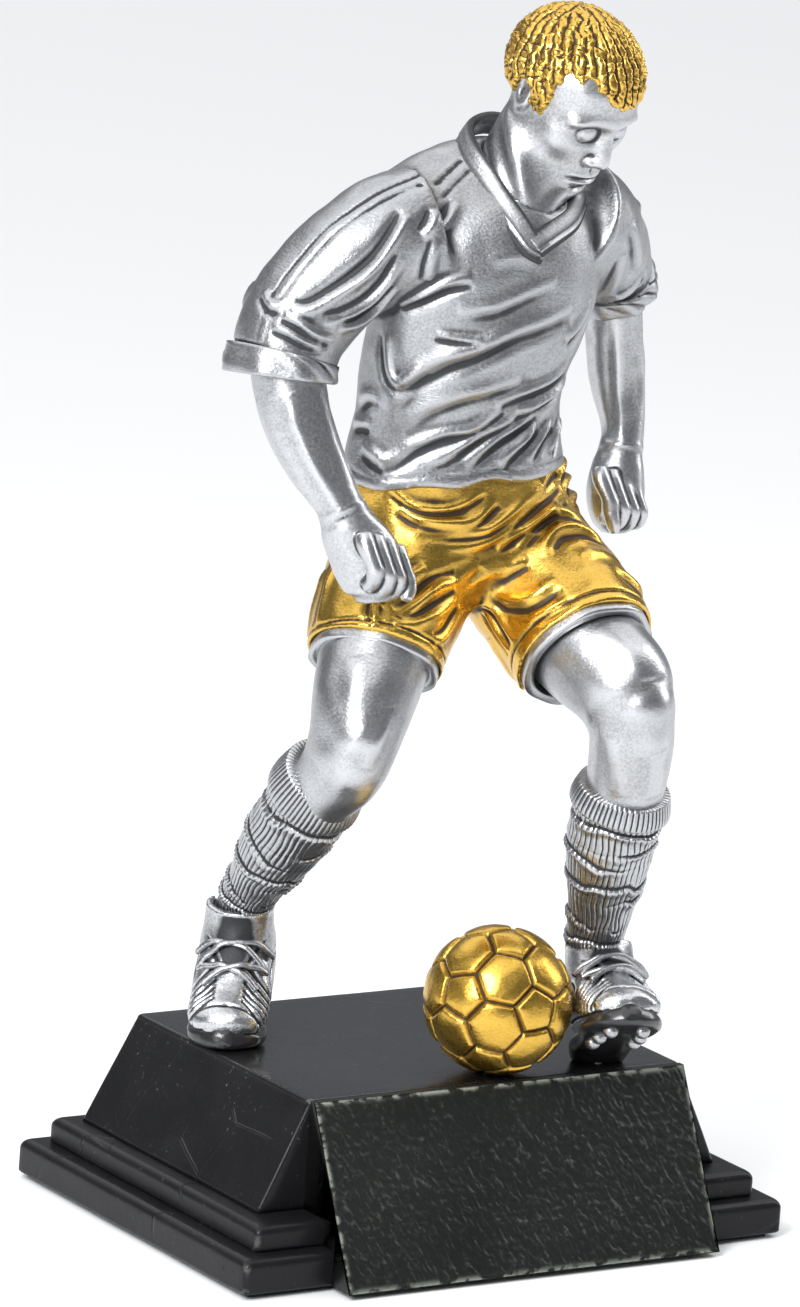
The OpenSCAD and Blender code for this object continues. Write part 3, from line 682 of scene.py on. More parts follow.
class Clay:
    """A block of small cells, each holding its distance in millimetres to a skin: below 0 is
    inside. Forms are added and cut with a rounded join, and the skin is then lifted off."""

    def __init__(self, low, high, cell, reach=9):
        self.cell, self.reach = cell, reach
        self.first = np.floor(np.array(low) / cell).astype(int)
        self.shape = tuple(np.ceil(np.array(high) / cell).astype(int) - self.first + 1)
        self.body = np.full(self.shape, reach * cell, np.float32)

    def form(self, shape):
        """Distance of every cell to a closed mesh."""
        points, quads, triangles = shape
        grid = vdb.FloatGrid.createLevelSetFromPolygons(
            points.astype(np.float32), triangles=triangles.astype(np.uint32), quads=quads.astype(np.uint32),
            transform=vdb.createLinearTransform(voxelSize=self.cell), halfWidth=float(self.reach))
        cells = np.full(self.shape, self.reach * self.cell, np.float32)
        grid.copyToArray(cells, ijk=tuple(int(i) for i in self.first))
        return cells

    def places(self):
        """Millimetre coordinates of the cells, as three arrays that broadcast."""
        return np.meshgrid(*[(self.first[i] + np.arange(self.shape[i])) * self.cell for i in range(3)],
                           indexing="ij", sparse=True)

    def add(self, distance, soft=1.0):
        """Joins a form, with a fillet of about soft millimetres."""
        h = np.clip(0.5 + 0.5 * (distance - self.body) / soft, 0, 1)
        self.body = distance + (self.body - distance) * h - soft * h * (1 - h)

    def cut(self, distance, soft=0.5):
        """Cuts a form away, with a rounded rim."""
        self.body = -self.body
        self.add(distance, soft)
        self.body = -self.body

    def skin(self, passes=4):
        """The surface where the distance is 0, as points and quads, evened a little."""
        grid = vdb.FloatGrid(float(self.reach * self.cell))
        grid.copyFromArray(self.body.astype(np.float32), ijk=tuple(int(i) for i in self.first))
        grid.transform = vdb.createLinearTransform(voxelSize=self.cell)
        points, quads = grid.convertToQuads(isovalue=0.0)
        points, quads = points.astype(float), quads.astype(np.int64)
        return smoothed(points, neighbours(quads), passes), quads


def run_of(points, spacing=0.5):
    """A smooth line through a few points, as close-set points and their directions."""
    points = np.asarray(points, float)
    t = np.linspace(0, len(points) - 1, 60 * (len(points) - 1))
    line = curve(points, t)
    length = np.append(0, np.cumsum(np.linalg.norm(np.diff(line, axis=0), axis=1)))
    even = np.linspace(0, length[-1], max(int(length[-1] / spacing), 6))
    line = np.stack([np.interp(even, length, line[:, i]) for i in range(3)], 1)
    return line, unit(np.gradient(line, axis=0))


def fold(points, normal, line, width, height, valley=0.7, taper=0.6):
    """Height of a fold along a line: a rounded ridge exp(-(s/w)^2) and, below the line as it runs
    from left to right, a narrower valley beside it. Both die away at the ends of the line."""
    path, way = run_of(line)
    near = np.all((points > path.min(0) - 3 * width) & (points < path.max(0) + 3 * width), axis=1)
    at = np.flatnonzero(near)
    lift = np.zeros(len(points))
    if not len(at):
        return lift
    p = points[at]
    square = (p ** 2).sum(1)[:, None] - 2 * p @ path.T + (path ** 2).sum(1)
    i = square.argmin(1)
    away = p - path[i]
    across = unit(np.cross(normal[at], way[i]))
    s = (away * across).sum(1)
    beyond = np.linalg.norm(away - s[:, None] * across, axis=1)
    u = i / (len(path) - 1)
    end = np.clip(np.sin(np.pi * np.clip(u, 0, 1)), 0, 1) ** taper
    shape = np.exp(-(s / width) ** 2) - 0.8 * valley * np.exp(-((s + 1.6 * width) / (0.85 * width)) ** 2)
    uneven = 0.9 + 0.35 * lattice_noise(p, 5.0, 17)
    lift[at] = height * uneven * shape * end * np.exp(-(beyond / (1.5 * width)) ** 2)
    return lift


def groove(points, line, width, depth):
    """Depth of a plain groove along a line: exp(-(d/w)^2)."""
    path, _ = run_of(line, 0.3)
    near = np.all((points > path.min(0) - 3 * width) & (points < path.max(0) + 3 * width), axis=1)
    at = np.flatnonzero(near)
    lift = np.zeros(len(points))
    if len(at):
        p = points[at]
        square = (p ** 2).sum(1)[:, None] - 2 * p @ path.T + (path ** 2).sum(1)
        lift[at] = -depth * np.exp(-np.clip(square.min(1), 0, None) / width ** 2)
    return lift


def laid_on(line, way, surface, reach, gap):
    """Slides each point of a line along its way until it clears, by gap, the highest of the
    surface points that lie within reach of its axis."""
    laid = np.array(line, float)
    for i in range(len(laid)):
        off = surface - laid[i]
        along = off @ way[i]
        near = ((off ** 2).sum(1) - along ** 2 < reach ** 2) & (np.abs(along) < 7)
        if near.any():
            laid[i] += way[i] * (along[near].max() + gap)
    return laid


def on_plate(points):
    """Moves points of the player, measured from the plate, to their place on the base."""
    return points + [0, 0, PLATE]


def lifted(x, up):
    """How far the sole bends up at a distance from the heel: it is flat from the ball of the foot."""
    return up * np.clip((BALL_OF_FOOT - np.asarray(x, float)) / BALL_OF_FOOT, 0, None) ** 1.4


def boot_rows(table, up):
    """Rows of a flat foot, bent up towards the heel."""
    return [[x, 0, z + float(lifted(x, up)), a, b] for x, z, a, b in table]


def right_foot(points):
    """The right foot's place: flat on its toes, turned towards the front left."""
    return turned(points, 0, 0, -127) + [-20.5, 27.5, -0.3]


def left_foot(points):
    """The left foot's place: rocked back on its heel, with the toes in the air."""
    points = turned(points + [0, 0, -0.5], 0, -28, 0)
    return turned(points, 0, 0, -110) + [24.9, -17.3, 0]


def boot(up):
    """Foot, collar and tongue joined, with a hole for the sock; then fins, seams and a toe cap."""
    clay = Clay((-4, -9, -1), (29, 9, 30 + up), 0.26)
    clay.add(clay.form(limb(boot_rows(BOOT, up), (0, 1, 0))), 0.3)
    top = [[x + 0.03 * up * (z - 9), y, z + 0.45 * up, a, b] for x, y, z, a, b in BOOT_TOP]
    clay.add(clay.form(limb(top, (0, 1, 0))), 2.2)
    dish = [[r[0], r[1], top[-1][2] + d, r[3] - 1.1, r[4] - 1.0] for r, d in zip(top, (-1.0, 1.0, 4.0))]
    clay.cut(clay.form(limb(dish, (0, 1, 0))), 0.8)
    tongue = [[12.6, 0, 11 + 0.4 * up, 2.4, 1.2], [10.8, 0, 16 + 0.5 * up, 2.9, 1.2],
              [9.6, 0, 21 + 0.55 * up, 3.2, 1.0]]
    clay.add(clay.form(limb(tongue, (0, 1, 0))), 0.8)
    points, quads = clay.skin()
    normal = facing(points, quads)
    x, y, z = points.T
    z0 = z - lifted(x, up)
    lift = 0.12 * lattice_noise(points, 2.2, 21)
    rows = boot_rows(BOOT, up)

    def line(marks, s):
        """Marks are (place, angle up from the side); s = -1 mirrors them to the other side."""
        marks = np.array(marks, float)
        return skin_point(rows, (0, 1, 0), marks[:, 0], marks[:, 1] if s > 0 else 180 - marks[:, 1])

    for s in (-1, 1):
        for n in range(6):
            t = 4.15 + 0.37 * n
            lift += groove(points, line([(t - 0.3, 66), (t + 0.05, 46), (t + 0.2, 20), (t + 0.1, -12)], s),
                           0.42, 0.75)
        lift += groove(points, line([(0.9, 8), (1.9, 24), (2.9, 46), (3.7, 66)], s), 0.34, 0.5)
        lift += groove(points, line([(1.3, -14), (2.3, 4), (3.2, 18), (3.9, 16), (4.0, -14)], s), 0.3, 0.4)
        lift += groove(points, line([(6.5, -16), (6.35, 20), (6.25, 55), (6.2, 90)], s), 0.36, 0.5)
        lift += groove(points, line([(0.4, -22), (2, -30), (4, -28), (6, -24), (7.4, -16)], s), 0.34, 0.6)
    return points + normal * lift[:, None], quads


def standing(points):
    """Flattens what would go below the top of the base."""
    points[:, 2] = np.maximum(points[:, 2], 0)
    return on_plate(points)


def sole(up, place):
    """A low, wide limb with squared ellipses, that cups the boot; a flat heel is set down on the base."""
    rows = [[x, z + 0.6, a - 0.35, b + 0.7] for x, z, a, b in SOLE]
    points, quads, caps = limb(boot_rows(rows, up), (0, 1, 0), 120, 14, 0, 0.75)
    heel = np.clip((5.5 - points[:, 0]) / 3, 0, 1) * np.clip((2.2 - points[:, 2]) / 2, 0, 1)
    points[:, 2] -= 1.6 * heel * (up == 0)
    return standing(place(points)), quads, caps


def stud(x, y, place):
    """A low dome on the sole: rings whose radius falls as a quarter circle."""
    a = np.linspace(0, np.pi / 2, 8)[:-1][:, None]
    turn = np.linspace(0, 2 * np.pi, 24, endpoint=False)[None]
    radius = np.vstack([[[1.45]], 1.35 * np.cos(a)])
    height = np.vstack([[[1.6]], 0.25 - 1.35 * np.sin(a)])
    points = np.stack([x + radius * np.cos(turn), y - radius * np.sin(turn), height + 0 * turn], -1)
    points = np.vstack([points.reshape(-1, 3), [[x, y, 1.6], [x, y, -1.1]]])
    return place(points), net(8, 24), ends(8, 24)


def joined(shapes):
    """Several meshes as one."""
    points, quads, caps, first = [], [], [], 0
    for p, q, c in shapes:
        points.append(p)
        quads.append(q + first)
        caps.append(c + first)
        first += len(p)
    return np.vstack(points), np.vstack(quads), np.vstack(caps)


def laces(up, surface):
    """Flat cords laid on the boot, that cross in an X between each pair of eyelets."""
    shapes = []
    places = np.linspace(-1, 1, 9)
    for x0, x1 in zip(LACE_AT, LACE_AT[1:]):
        for s in (-1, 1):
            line = np.stack([x0 + (x1 - x0) * (places + 1) / 2, s * 4.3 * places, 9 + 0 * places], 1)
            line[:, 2] += lifted(line[:, 0], up)
            way = unit(np.stack([0.35 + 0 * places, 0.16 * s * places * 4, 1 + 0 * places], 1))
            line = laid_on(line, way, surface, 0.7, 0.12 if s > 0 else 0.42)
            rows = [[*p, 0.85, 0.55] for p in line]
            shapes.append(limb(rows, (1, 0, 0), 14, 4))
    return joined(shapes)


SILVER, SILVER_PALE, SILVER_DARK = (0.3, 0.305, 0.315), (0.56, 0.57, 0.59), (0.02, 0.022, 0.025)
silver_boot = metal_paint("silver_on_boots", SILVER, (0.68, 0.69, 0.71), SILVER_DARK, grain=0.00008,
                          roughness=0.26, wash=1.0, low_hollow=-0.04, high_hollow=0.5)


def rubber():
    """Black sole paint with a thin gloss coat."""
    paint = Paint("black_sole_paint", Coat_Weight=0.6, Coat_Roughness=0.1)
    grain = paint.noise(0.0005, 3.0)
    return paint.set(Base_Color=paint.mix(grain, (0.004, 0.004, 0.005), (0.02, 0.02, 0.022)),
                     Roughness=grain * 0.2 + 0.22, Normal=paint.bump(grain, 0.00006))


black_rubber = rubber()
for who, up, place in (("right", HEEL_LIFT, right_foot), ("left", 0, left_foot)):
    upper, quads = boot(up)
    x, y, z = (upper - [0, 0, 0.5 * up]).T
    tongue = np.exp(-(y / 3.6) ** 4) * np.clip(x - 12 - 0.15 * up, 0, 1) * np.clip(18.6 - x, 0, 1) * (z > 8)
    cast(who + "_boot_upper", standing(place(upper)), [quads], silver_boot, "silver_paint", [who + "_boot"],
         hollow=hollow_of(upper, quads) + 0.9 * tongue)
    points, quads, caps = sole(up, place)
    cast(who + "_boot_sole", points, [quads, caps], black_rubber, "black_sole", [who + "_sole"])
    points, quads, caps = laces(up, upper)
    cast(who + "_boot_laces", on_plate(place(points)), [quads, caps], silver_boot, "silver_paint",
         [who + "_laces"], hollow=0 * points[:, 0])
points, quads, caps = joined([stud(x, y, left_foot) for x, y in STUD_AT])
cast("left_boot_studs", on_plate(points), [quads, caps], silver_boot, "silver_paint", ["left_sole_studs"],
     hollow=0 * points[:, 0])

# ---------------------------------------------------------------- Socks
# Long knitted socks, carved as upright ribs that are crossed by loose rolls of slack, with a
# ribbed turn-over below the knee. They are brushed silver, with the undercoat left in the ribs.
RIGHT_SOCK = [[-27.4, -6, 51, 6.6, 6.9], [-27.2, 1.5, 42, 7.5, 7.3], [-26.9, 8, 35, 6.8, 6.6],
              [-25.9, 14.6, 28.5, 5.3, 5.2], [-24.9, 19.9, 23, 4.8, 4.8], [-24.5, 22, 17, 4.6, 4.7]]
LEFT_SOCK = [[20.4, -26.4, 50.5, 7.3, 7.4], [20.6, -24, 43.5, 7.7, 7.8], [21.4, -21.8, 37, 7.2, 7.4],
             [23.4, -18, 28.5, 5.8, 5.9], [24.6, -15, 20, 4.8, 4.9], [25.2, -14.4, 13.5, 4.6, 4.8]]
RIBS = 42
SLACK_AT = [0.72, 1.25, 1.62, 2.2, 2.62, 3.25, 3.7]


def knit(t, degrees):
    """Ribs as |cos| of the angle, deeper in places, and a sharp roll at each place of slack."""
    where = np.stack([np.cos(np.radians(degrees)) * 3, np.sin(np.radians(degrees)) * 3, t * 3.0], -1)
    shape = t.shape
    wander = lattice_noise(where.reshape(-1, 3), 1.1, 31).reshape(shape)
    deep = 0.5 + 0.5 * lattice_noise(where.reshape(-1, 3) * [2, 2, 1], 1.0, 32).reshape(shape)
    rib = np.abs(np.sin(np.radians(degrees) * RIBS / 2 + 1.2 * wander)) ** 0.5
    height = (0.12 + 0.6 * deep ** 2) * (rib - 0.8)
    for n, at in enumerate(SLACK_AT):
        s = (t - at - 0.1 * wander - 0.06 * np.sin(np.radians(degrees) * 2 + 2.2 * n)) * 8.5
        strong = np.clip(0.55 + 0.6 * np.sin(np.radians(degrees) + 1.9 * n) + 0.5 * wander, 0.1, 1)
        roll = 0.5 * np.exp(-((s - 0.5) / 0.75) ** 2) - 0.3 * np.exp(-((s + 0.4) / 0.4) ** 2)
        height = height + strong * roll
    return height


def turned_band(rows, side, profile, around=240, ripple=None):
    """A closed outline of (place, proud) pairs, carried round a limb into a ring."""
    profile = np.array(profile, float)
    t = np.broadcast_to(profile[:, :1], (len(profile), around))
    degrees = np.broadcast_to(np.linspace(0, 360, around, endpoint=False), t.shape)
    proud = np.broadcast_to(profile[:, 1:2], t.shape)
    if ripple is not None:
        proud = proud + ripple(t, degrees) * (proud > profile[:, 1].mean())
    points = skin_point(rows, side, t, degrees, proud)
    return points.reshape(-1, 3), net(len(profile), around, closed=True)


def lip(start, end, thick, inner, count=10):
    """Outline of a thick band: out along its face, round the lip and back inside."""
    face = [(start + (end - start) * f, thick * (0.55 + 0.45 * math.sin(math.pi * f) ** 0.5))
            for f in np.linspace(0, 1, count)]
    back = [(end - (end - start) * f, inner) for f in np.linspace(0, 1, count)]
    return face + back


def turnover_ribs(t, degrees):
    """Ribs as |sin| of the angle, whose spacing drifts slowly round the leg."""
    a = np.radians(degrees)
    return 0.34 * np.abs(np.sin(28 * a + 0.6 * np.sin(5 * a))) ** 0.6


silver_sock = metal_paint("silver_on_socks", SILVER, SILVER_PALE, SILVER_DARK, grain=0.00006,
                          roughness=0.28, wash=1.0, low_hollow=0.0, high_hollow=0.75)
for who, rows in (("right", RIGHT_SOCK), ("left", LEFT_SOCK)):
    points, quads, caps = limb(rows, (1, 0, 0), 420, 44, 0, 1, knit)
    cast(who + "_sock_knit", on_plate(points), [quads, caps], silver_sock, "silver_paint", [who + "_sock"],
         hollow=hollow_of(points, quads, 2))
    outline = [(t, proud * (0.55 + 1.1 * max(t, 0))) if proud > 0 else (t, proud)
               for t, proud in lip(0.47, -0.08, 1.25, -2.4, 18)][::-1]
    points, quads = turned_band(rows, (1, 0, 0), outline, 336, turnover_ribs)
    cast(who + "_sock_turnover", on_plate(points), [quads], silver_sock, "silver_paint",
         [who + "_sock_cuff"], hollow=hollow_of(points, quads, 2))

# ---------------------------------------------------------------- Legs
# Bare legs between the shorts and the socks, with a kneecap, the tendons beside it and the long
# muscles of the thigh. The casting is smooth here, and the silver is rubbed bright.
RIGHT_LEG = [[-15, -3, 79, 10, 10.5], [-18, -5.5, 74, 9.8, 10.2], [-22.8, -10, 67, 9, 9.4],
             [-26.2, -12.8, 60, 7.8, 8.2], [-27, -11.2, 54.5, 7.1, 7.6], [-27.5, -7, 49.5, 6.3, 6.7],
             [-27.8, -3, 45.5, 5.8, 6]]
LEFT_THIGH = [[14.6, -10, 78, 9.6, 10], [15.8, -18, 73.8, 9.6, 10], [16.9, -25, 70.8, 9.1, 9.5],
              [17.6, -29.5, 68.6, 8.3, 8.6], [18, -31.5, 67, 6.4, 6.6]]
LEFT_SHIN = [[17.6, -29.5, 69.5, 6.4, 6.8], [18.2, -30.4, 65.5, 7.4, 7.6], [19.4, -29, 58, 7.1, 7.4],
             [20.2, -27, 51, 6.7, 6.9], [20.6, -25.6, 46, 6.2, 6.4]]


def egg(places, centre, radii, turn=(0, 0, 0)):
    """Distance to an egg, close enough near its skin: (|p/r| - 1) times its least radius."""
    x, y, z = places
    p = [x - centre[0], y - centre[1], z - centre[2]]
    if any(turn):
        back = turned(np.eye(3), *turn)
        p = [p[0] * back[i][0] + p[1] * back[i][1] + p[2] * back[i][2] for i in range(3)]
    size = np.sqrt(sum((p[i] / radii[i]) ** 2 for i in range(3)))
    return ((size - 1) * min(radii)).astype(np.float32)


def bumps(points, table):
    """Low swellings and dips: height times exp(-(distance/size)^2) round each centre."""
    lift = np.zeros(len(points))
    for x, y, z, size, height in table:
        lift += height * np.exp(-(((points - [x, y, z]) / size) ** 2).sum(1))
    return lift


silver_skin = metal_paint("silver_on_skin", (0.34, 0.345, 0.355), (0.62, 0.63, 0.65), SILVER_DARK,
                          grain=0.00005, roughness=0.3, wash=0.95, low_hollow=0.14, high_hollow=1.0)


def leg(who, low, high, shapes, bump_table, fold_table):
    """Limbs joined in one, then raised along their normals by bumps and by the lines of muscles."""
    clay = Clay(low, high, 0.33)
    for n, rows in enumerate(shapes):
        clay.add(clay.form(limb(rows)), 0.2 if n == 0 else 2.2)
    points, quads = clay.skin(8)
    normal = facing(points, quads)
    lift = bumps(points, bump_table) + 0.06 * lattice_noise(points, 3.0, 41)
    for line, width, height in fold_table:
        lift += fold(points, normal, line, width, height, 0.4)
    points = points + normal * lift[:, None]
    cast(who + "_leg_skin", on_plate(points), [quads], silver_skin, "silver_paint", [who + "_leg"],
         hollow=hollow_of(points, quads, 6) * 1.6)


leg("right", (-40, -26, 40), (0, 12, 84), [RIGHT_LEG],
    [(-29.0, -20.0, 61, 3.6, 1.0), (-31, -18.5, 53.5, 3.0, 0.6), (-24, -19, 57, 3.2, -0.4),
     (-34, -15, 60, 3.4, -0.45), (-26, -17, 68, 4.5, 0.6), (-19, -14, 70, 4.0, -0.4),
     (-33, -12, 68, 4.5, 0.5)],
    [([[-30, -15.5, 75], [-30.5, -18, 69], [-31.5, -20, 64]], 2.2, 0.5),
     ([[-24.5, -20.5, 66], [-27, -21.6, 61], [-28.5, -19.5, 56]], 1.3, 0.4)])
leg("left", (4, -44, 40), (32, 0, 90), [LEFT_THIGH, LEFT_SHIN],
    [(16.8, -38.6, 68.5, 3.8, 0.7), (18.5, -37.6, 60.5, 3.0, 0.6), (12.6, -34.6, 63, 3.4, -0.5),
     (23.5, -35, 64, 3.4, -0.4), (18, -33, 78.5, 4.5, 0.5), (12, -30, 76, 4.0, -0.35)],
    [([[12.5, -26, 79], [14.5, -33, 76.5], [16, -38, 72]], 2.0, 0.5),
     ([[19, -36.5, 60], [20.3, -35, 55], [21, -33.6, 51]], 1.6, 0.5),
     ([[13, -33, 62], [14.5, -33, 56], [15.5, -32, 51]], 1.6, 0.4)])

# ---------------------------------------------------------------- Shorts
# Loose shorts, bunched under the shirt and pulled from the crotch towards both hips, with a
# sewn hem and a lining at each leg. They are gold over a brown-black undercoat.
HIPS = [[4.5, 3, 79, 17, 12.5], [3.5, 4, 85, 22.3, 15.8], [2, 4, 91, 22, 15.6], [1, 3.5, 97, 20.8, 14.6],
        [0.3, 3, 101.5, 19.6, 13.2], [0.2, 3, 105, 17.6, 11.6]]
RIGHT_SHORTS = [[-6.5, 3, 89, 12, 13.5], [-11.5, 0, 81.5, 12.6, 13.6], [-16.8, -4, 74.8, 12.2, 12.8],
                [-19, -6, 71, 11.8, 12.4]]
LEFT_SHORTS = [[12, 2, 87.5, 12, 13.5], [14.5, -6, 81.5, 13, 13.4], [15.4, -14, 76.8, 12.8, 13.2],
               [15.4, -18.8, 73.4, 12.6, 13]]
SIDEWAYS = (1, 0, 0)
# A fold is (angle, place) pairs on a form, then its half-width, height and share of valley.
HIP_FOLDS = [
    ([(-143, 3.75), (-130, 3.35), (-115, 3.15), (-102, 3.2), (-90, 3.75)], 0.95, 0.95, 1.0),
    ([(-152, 4.1), (-132, 3.75), (-112, 3.7), (-96, 4.0)], 0.7, 0.6, 1.0),
    ([(-134, 3.0), (-115, 2.85), (-98, 2.8), (-85, 3.1), (-72, 3.5), (-48, 3.85)], 1.0, 1.05, 1.0),
    ([(-133, 2.4), (-114, 2.4), (-96, 2.5), (-82, 2.85), (-66, 3.25), (-40, 3.5)], 0.95, 0.95, 1.0),
    ([(-130, 1.85), (-118, 2.0), (-107, 2.2), (-93, 2.35), (-78, 2.6)], 1.1, 0.7, 0.9),
    ([(-136, 1.2), (-124, 1.45), (-112, 1.7), (-104, 1.95)], 1.2, 0.9, 1.1),
    ([(-94, 2.1), (-85, 2.4), (-75, 2.6), (-60, 2.75), (-40, 2.9)], 0.9, 0.9, 1.1),
    ([(-84, 2.05), (-74, 2.25), (-60, 2.4), (-44, 2.45)], 0.8, 0.7, 1.0),
    ([(-60, 3.9), (-45, 4.15), (-30, 4.3)], 1.1, 0.9, 1.0),
    ([(-38, 3.55), (-25, 3.7), (-8, 3.6)], 1.0, 1.2, 0.9),
    ([(-36, 3.0), (-22, 3.05), (-6, 2.8)], 1.0, 1.2, 0.9),
    ([(-36, 2.5), (-20, 2.45), (0, 2.2)], 1.0, 1.1, 0.9),
    ([(-34, 2.0), (-18, 1.9), (6, 1.7)], 1.0, 0.9, 0.9),
    ([(-200, 3.6), (-180, 3.2), (-160, 3.1)], 1.0, 0.8, 0.9),
    ([(-205, 2.6), (-185, 2.3), (-165, 2.1)], 1.0, 0.8, 0.9),
    ([(20, 3.6), (50, 3.2), (80, 3.3), (110, 3.7)], 1.2, 0.9, 0.9),
    ([(15, 2.8), (45, 2.5), (75, 2.3), (95, 1.9)], 1.2, 0.9, 0.9),
    ([(85, 1.8), (110, 2.3), (135, 2.6), (160, 3.0)], 1.2, 0.9, 0.9),
    ([(95, 2.9), (120, 3.2), (150, 3.6)], 1.1, 0.8, 0.9),
    ([(90, 1.0), (70, 1.4), (45, 1.6)], 1.3, 0.9, 0.9)]
RIGHT_FOLDS = [
    ([(-292, 0.9), (-278, 1.4), (-264, 2.0), (-255, 2.3)], 1.1, 0.95, 1.0),
    ([(-302, 1.2), (-288, 1.8), (-270, 2.3), (-250, 2.6)], 1.0, 0.8, 1.0),
    ([(-315, 1.3), (-306, 2.0), (-292, 2.6)], 0.9, 0.8, 0.9),
    ([(-262, 1.1), (-250, 1.6), (-240, 2.2)], 1.0, 0.7, 0.9),
    ([(-185, 1.0), (-182, 1.7), (-178, 2.5)], 1.0, 0.6, 0.9),
    ([(-165, 1.2), (-150, 1.9), (-145, 2.6)], 1.1, 0.8, 0.9),
    ([(-120, 1.0), (-100, 1.6), (-85, 2.3)], 1.2, 0.8, 0.9),
    ([(-60, 1.2), (-45, 1.9), (-30, 2.5)], 1.1, 0.8, 0.9)]
LEFT_FOLDS = [
    ([(-240, 1.35), (-246, 1.0), (-262, 0.78), (-285, 0.85), (-305, 1.1)], 1.1, 1.2, 1.0),
    ([(-225, 0.7), (-245, 0.4), (-270, 0.35), (-300, 0.6)], 1.0, 1.1, 1.0),
    ([(-192, 1.0), (-198, 1.5), (-212, 1.85), (-236, 1.9)], 1.3, 0.8, 1.1),
    ([(-184, 0.9), (-180, 1.6), (-176, 2.4)], 1.0, 0.9, 1.0),
    ([(-172, 1.0), (-166, 1.7), (-164, 2.4)], 0.8, 0.7, 0.9),
    ([(-205, 0.6), (-215, 0.9), (-228, 1.1)], 1.0, 0.8, 1.0),
    ([(-290, 1.9), (-305, 2.1), (-325, 2.2)], 1.1, 0.8, 0.9),
    ([(-262, 1.6), (-285, 1.55), (-310, 1.6)], 1.2, 0.5, 0.7),
    ([(-150, 1.3), (-130, 1.9), (-115, 2.5)], 1.1, 0.8, 0.9),
    ([(-90, 1.2), (-70, 1.8), (-50, 2.3)], 1.1, 0.8, 0.9),
    ([(-200, 2.2), (-215, 2.45), (-235, 2.5)], 0.9, 0.5, 0.8)]


def lines_on(rows, side, folds):
    """Turns folds drawn on a form into lines in space."""
    made = []
    for marks, width, height, valley in folds:
        marks = np.array(marks, float)
        made.append((skin_point(rows, side, marks[:, 1], marks[:, 0]), width, height, valley))
    return made


def open_end(clay, rows, side, wall, depth, soft=0.4):
    """Hollows the last millimetres of a limb's end, leaving a wall."""
    inside = [[*r[:3], r[3] - wall, r[4] - wall] for r in rows]
    last, before = np.array(inside[-1]), np.array(inside[-2])
    out = unit(last[:3] - before[:3])
    ring = [[*(last[:3] - out * depth), *last[3:]], [*(last[:3] + out * 3), *last[3:]]]
    clay.cut(clay.form(limb(ring, side)), soft)


def hem_line(rows, side, place, count=25):
    """A closed line round a limb at one place along it."""
    degrees = np.linspace(0, 360, count)
    return skin_point(rows, side, np.full(count, place), degrees)


clay = Clay((-36, -36, 66), (34, 24, 108), 0.36)
clay.add(clay.form(limb(HIPS)), 0.2)
clay.add(clay.form(limb(RIGHT_SHORTS)), 3.0)
clay.add(clay.form(limb(LEFT_SHORTS)), 3.0)
open_end(clay, RIGHT_SHORTS, SIDEWAYS, 0.9, 3.2)
open_end(clay, LEFT_SHORTS, SIDEWAYS, 0.9, 3.2)
points, quads = clay.skin(6)
normal = facing(points, quads)
lift = 0.12 * lattice_noise(points, 2.6, 51) + 0.3 * lattice_noise(points, 7.0, 52)
for line, width, height, valley in (lines_on(HIPS, SIDEWAYS, HIP_FOLDS)
                                    + lines_on(RIGHT_SHORTS, SIDEWAYS, RIGHT_FOLDS)
                                    + lines_on(LEFT_SHORTS, SIDEWAYS, LEFT_FOLDS)):
    lift += fold(points, normal, line, width, height, valley)
for rows in (RIGHT_SHORTS, LEFT_SHORTS):
    lift += groove(points, hem_line(rows, SIDEWAYS, 2.58), 0.3, 0.4)
lift += fold(points, normal, skin_point(RIGHT_SHORTS, SIDEWAYS, np.array([1.7, 2.2, 2.6, 2.95]),
                                        np.array([-236, -234, -236, -233])), 0.7, 0.7, 0.6)
points = points + normal * lift[:, None]
gold_cloth = metal_paint("gold_on_shorts", (0.56, 0.34, 0.055), GOLD, GOLD_DARK, grain=0.00006,
                         roughness=0.22, wash=1.0, low_hollow=0.08, high_hollow=1.15)
cast("shorts_drape", on_plate(points), [quads], gold_cloth, "gold_paint", ["shorts"],
     hollow=hollow_of(points, quads, 4) * 1.5)

silver_lining = metal_paint("silver_on_lining", SILVER, SILVER_PALE, SILVER_DARK, grain=0.00005,
                            roughness=0.3, wash=1.0, low_hollow=0.05, high_hollow=0.6)
for who, rows in (("right", RIGHT_SHORTS), ("left", LEFT_SHORTS)):
    last, before = np.array(rows[-1], float), np.array(rows[-2], float)
    out = unit(last[:3] - before[:3])
    ring = [[*(last[:3] + out * d), last[3] - 1.0, last[4] - 1.0] for d in (-2.6, -0.8, 1.5)]
    points, quads = turned_band(ring, SIDEWAYS, lip(0.0, 1.95, 0.25, -1.4, 10), 200,
                                lambda t, d: 0.12 * np.sin(np.radians(d) * 7) * t)
    cast(who + "_shorts_lining", on_plate(points), [quads], silver_lining, "silver_paint",
         [who + "_shorts_hem"], hollow=hollow_of(points, quads, 2))

# ---------------------------------------------------------------- Shirt and sleeves
# A loose football shirt with set-in sleeves to the elbow, pulled across the body by the bent
# waist. Body and sleeves are one carving; a plain piped seam runs from the collar to each cuff.
SHIRT = [[0.3, 3, 101.5, 20.8, 14.2], [0, 3, 107.5, 19.6, 13.8], [-0.6, 2, 113.5, 19, 13.4],
         [-1, 0, 121, 19.4, 13.4], [0, -2, 130, 20.3, 13.8], [1, -3.5, 137.5, 20, 13.6],
         [2, -3.5, 143.5, 17.5, 12.6], [3, -1.5, 149.5, 12.5, 10], [4, 0, 155, 8, 7.5]]
YOKE = [[-24, -0.5, 141, 8.5, 8.5], [-14, 1, 145, 9.2, 9.4], [-3, 2.5, 149, 9, 9.6], [8, 2, 149, 8.8, 9.5],
        [18, 0.5, 145, 9, 8.4], [22, 0.5, 141.5, 8, 7.5]]
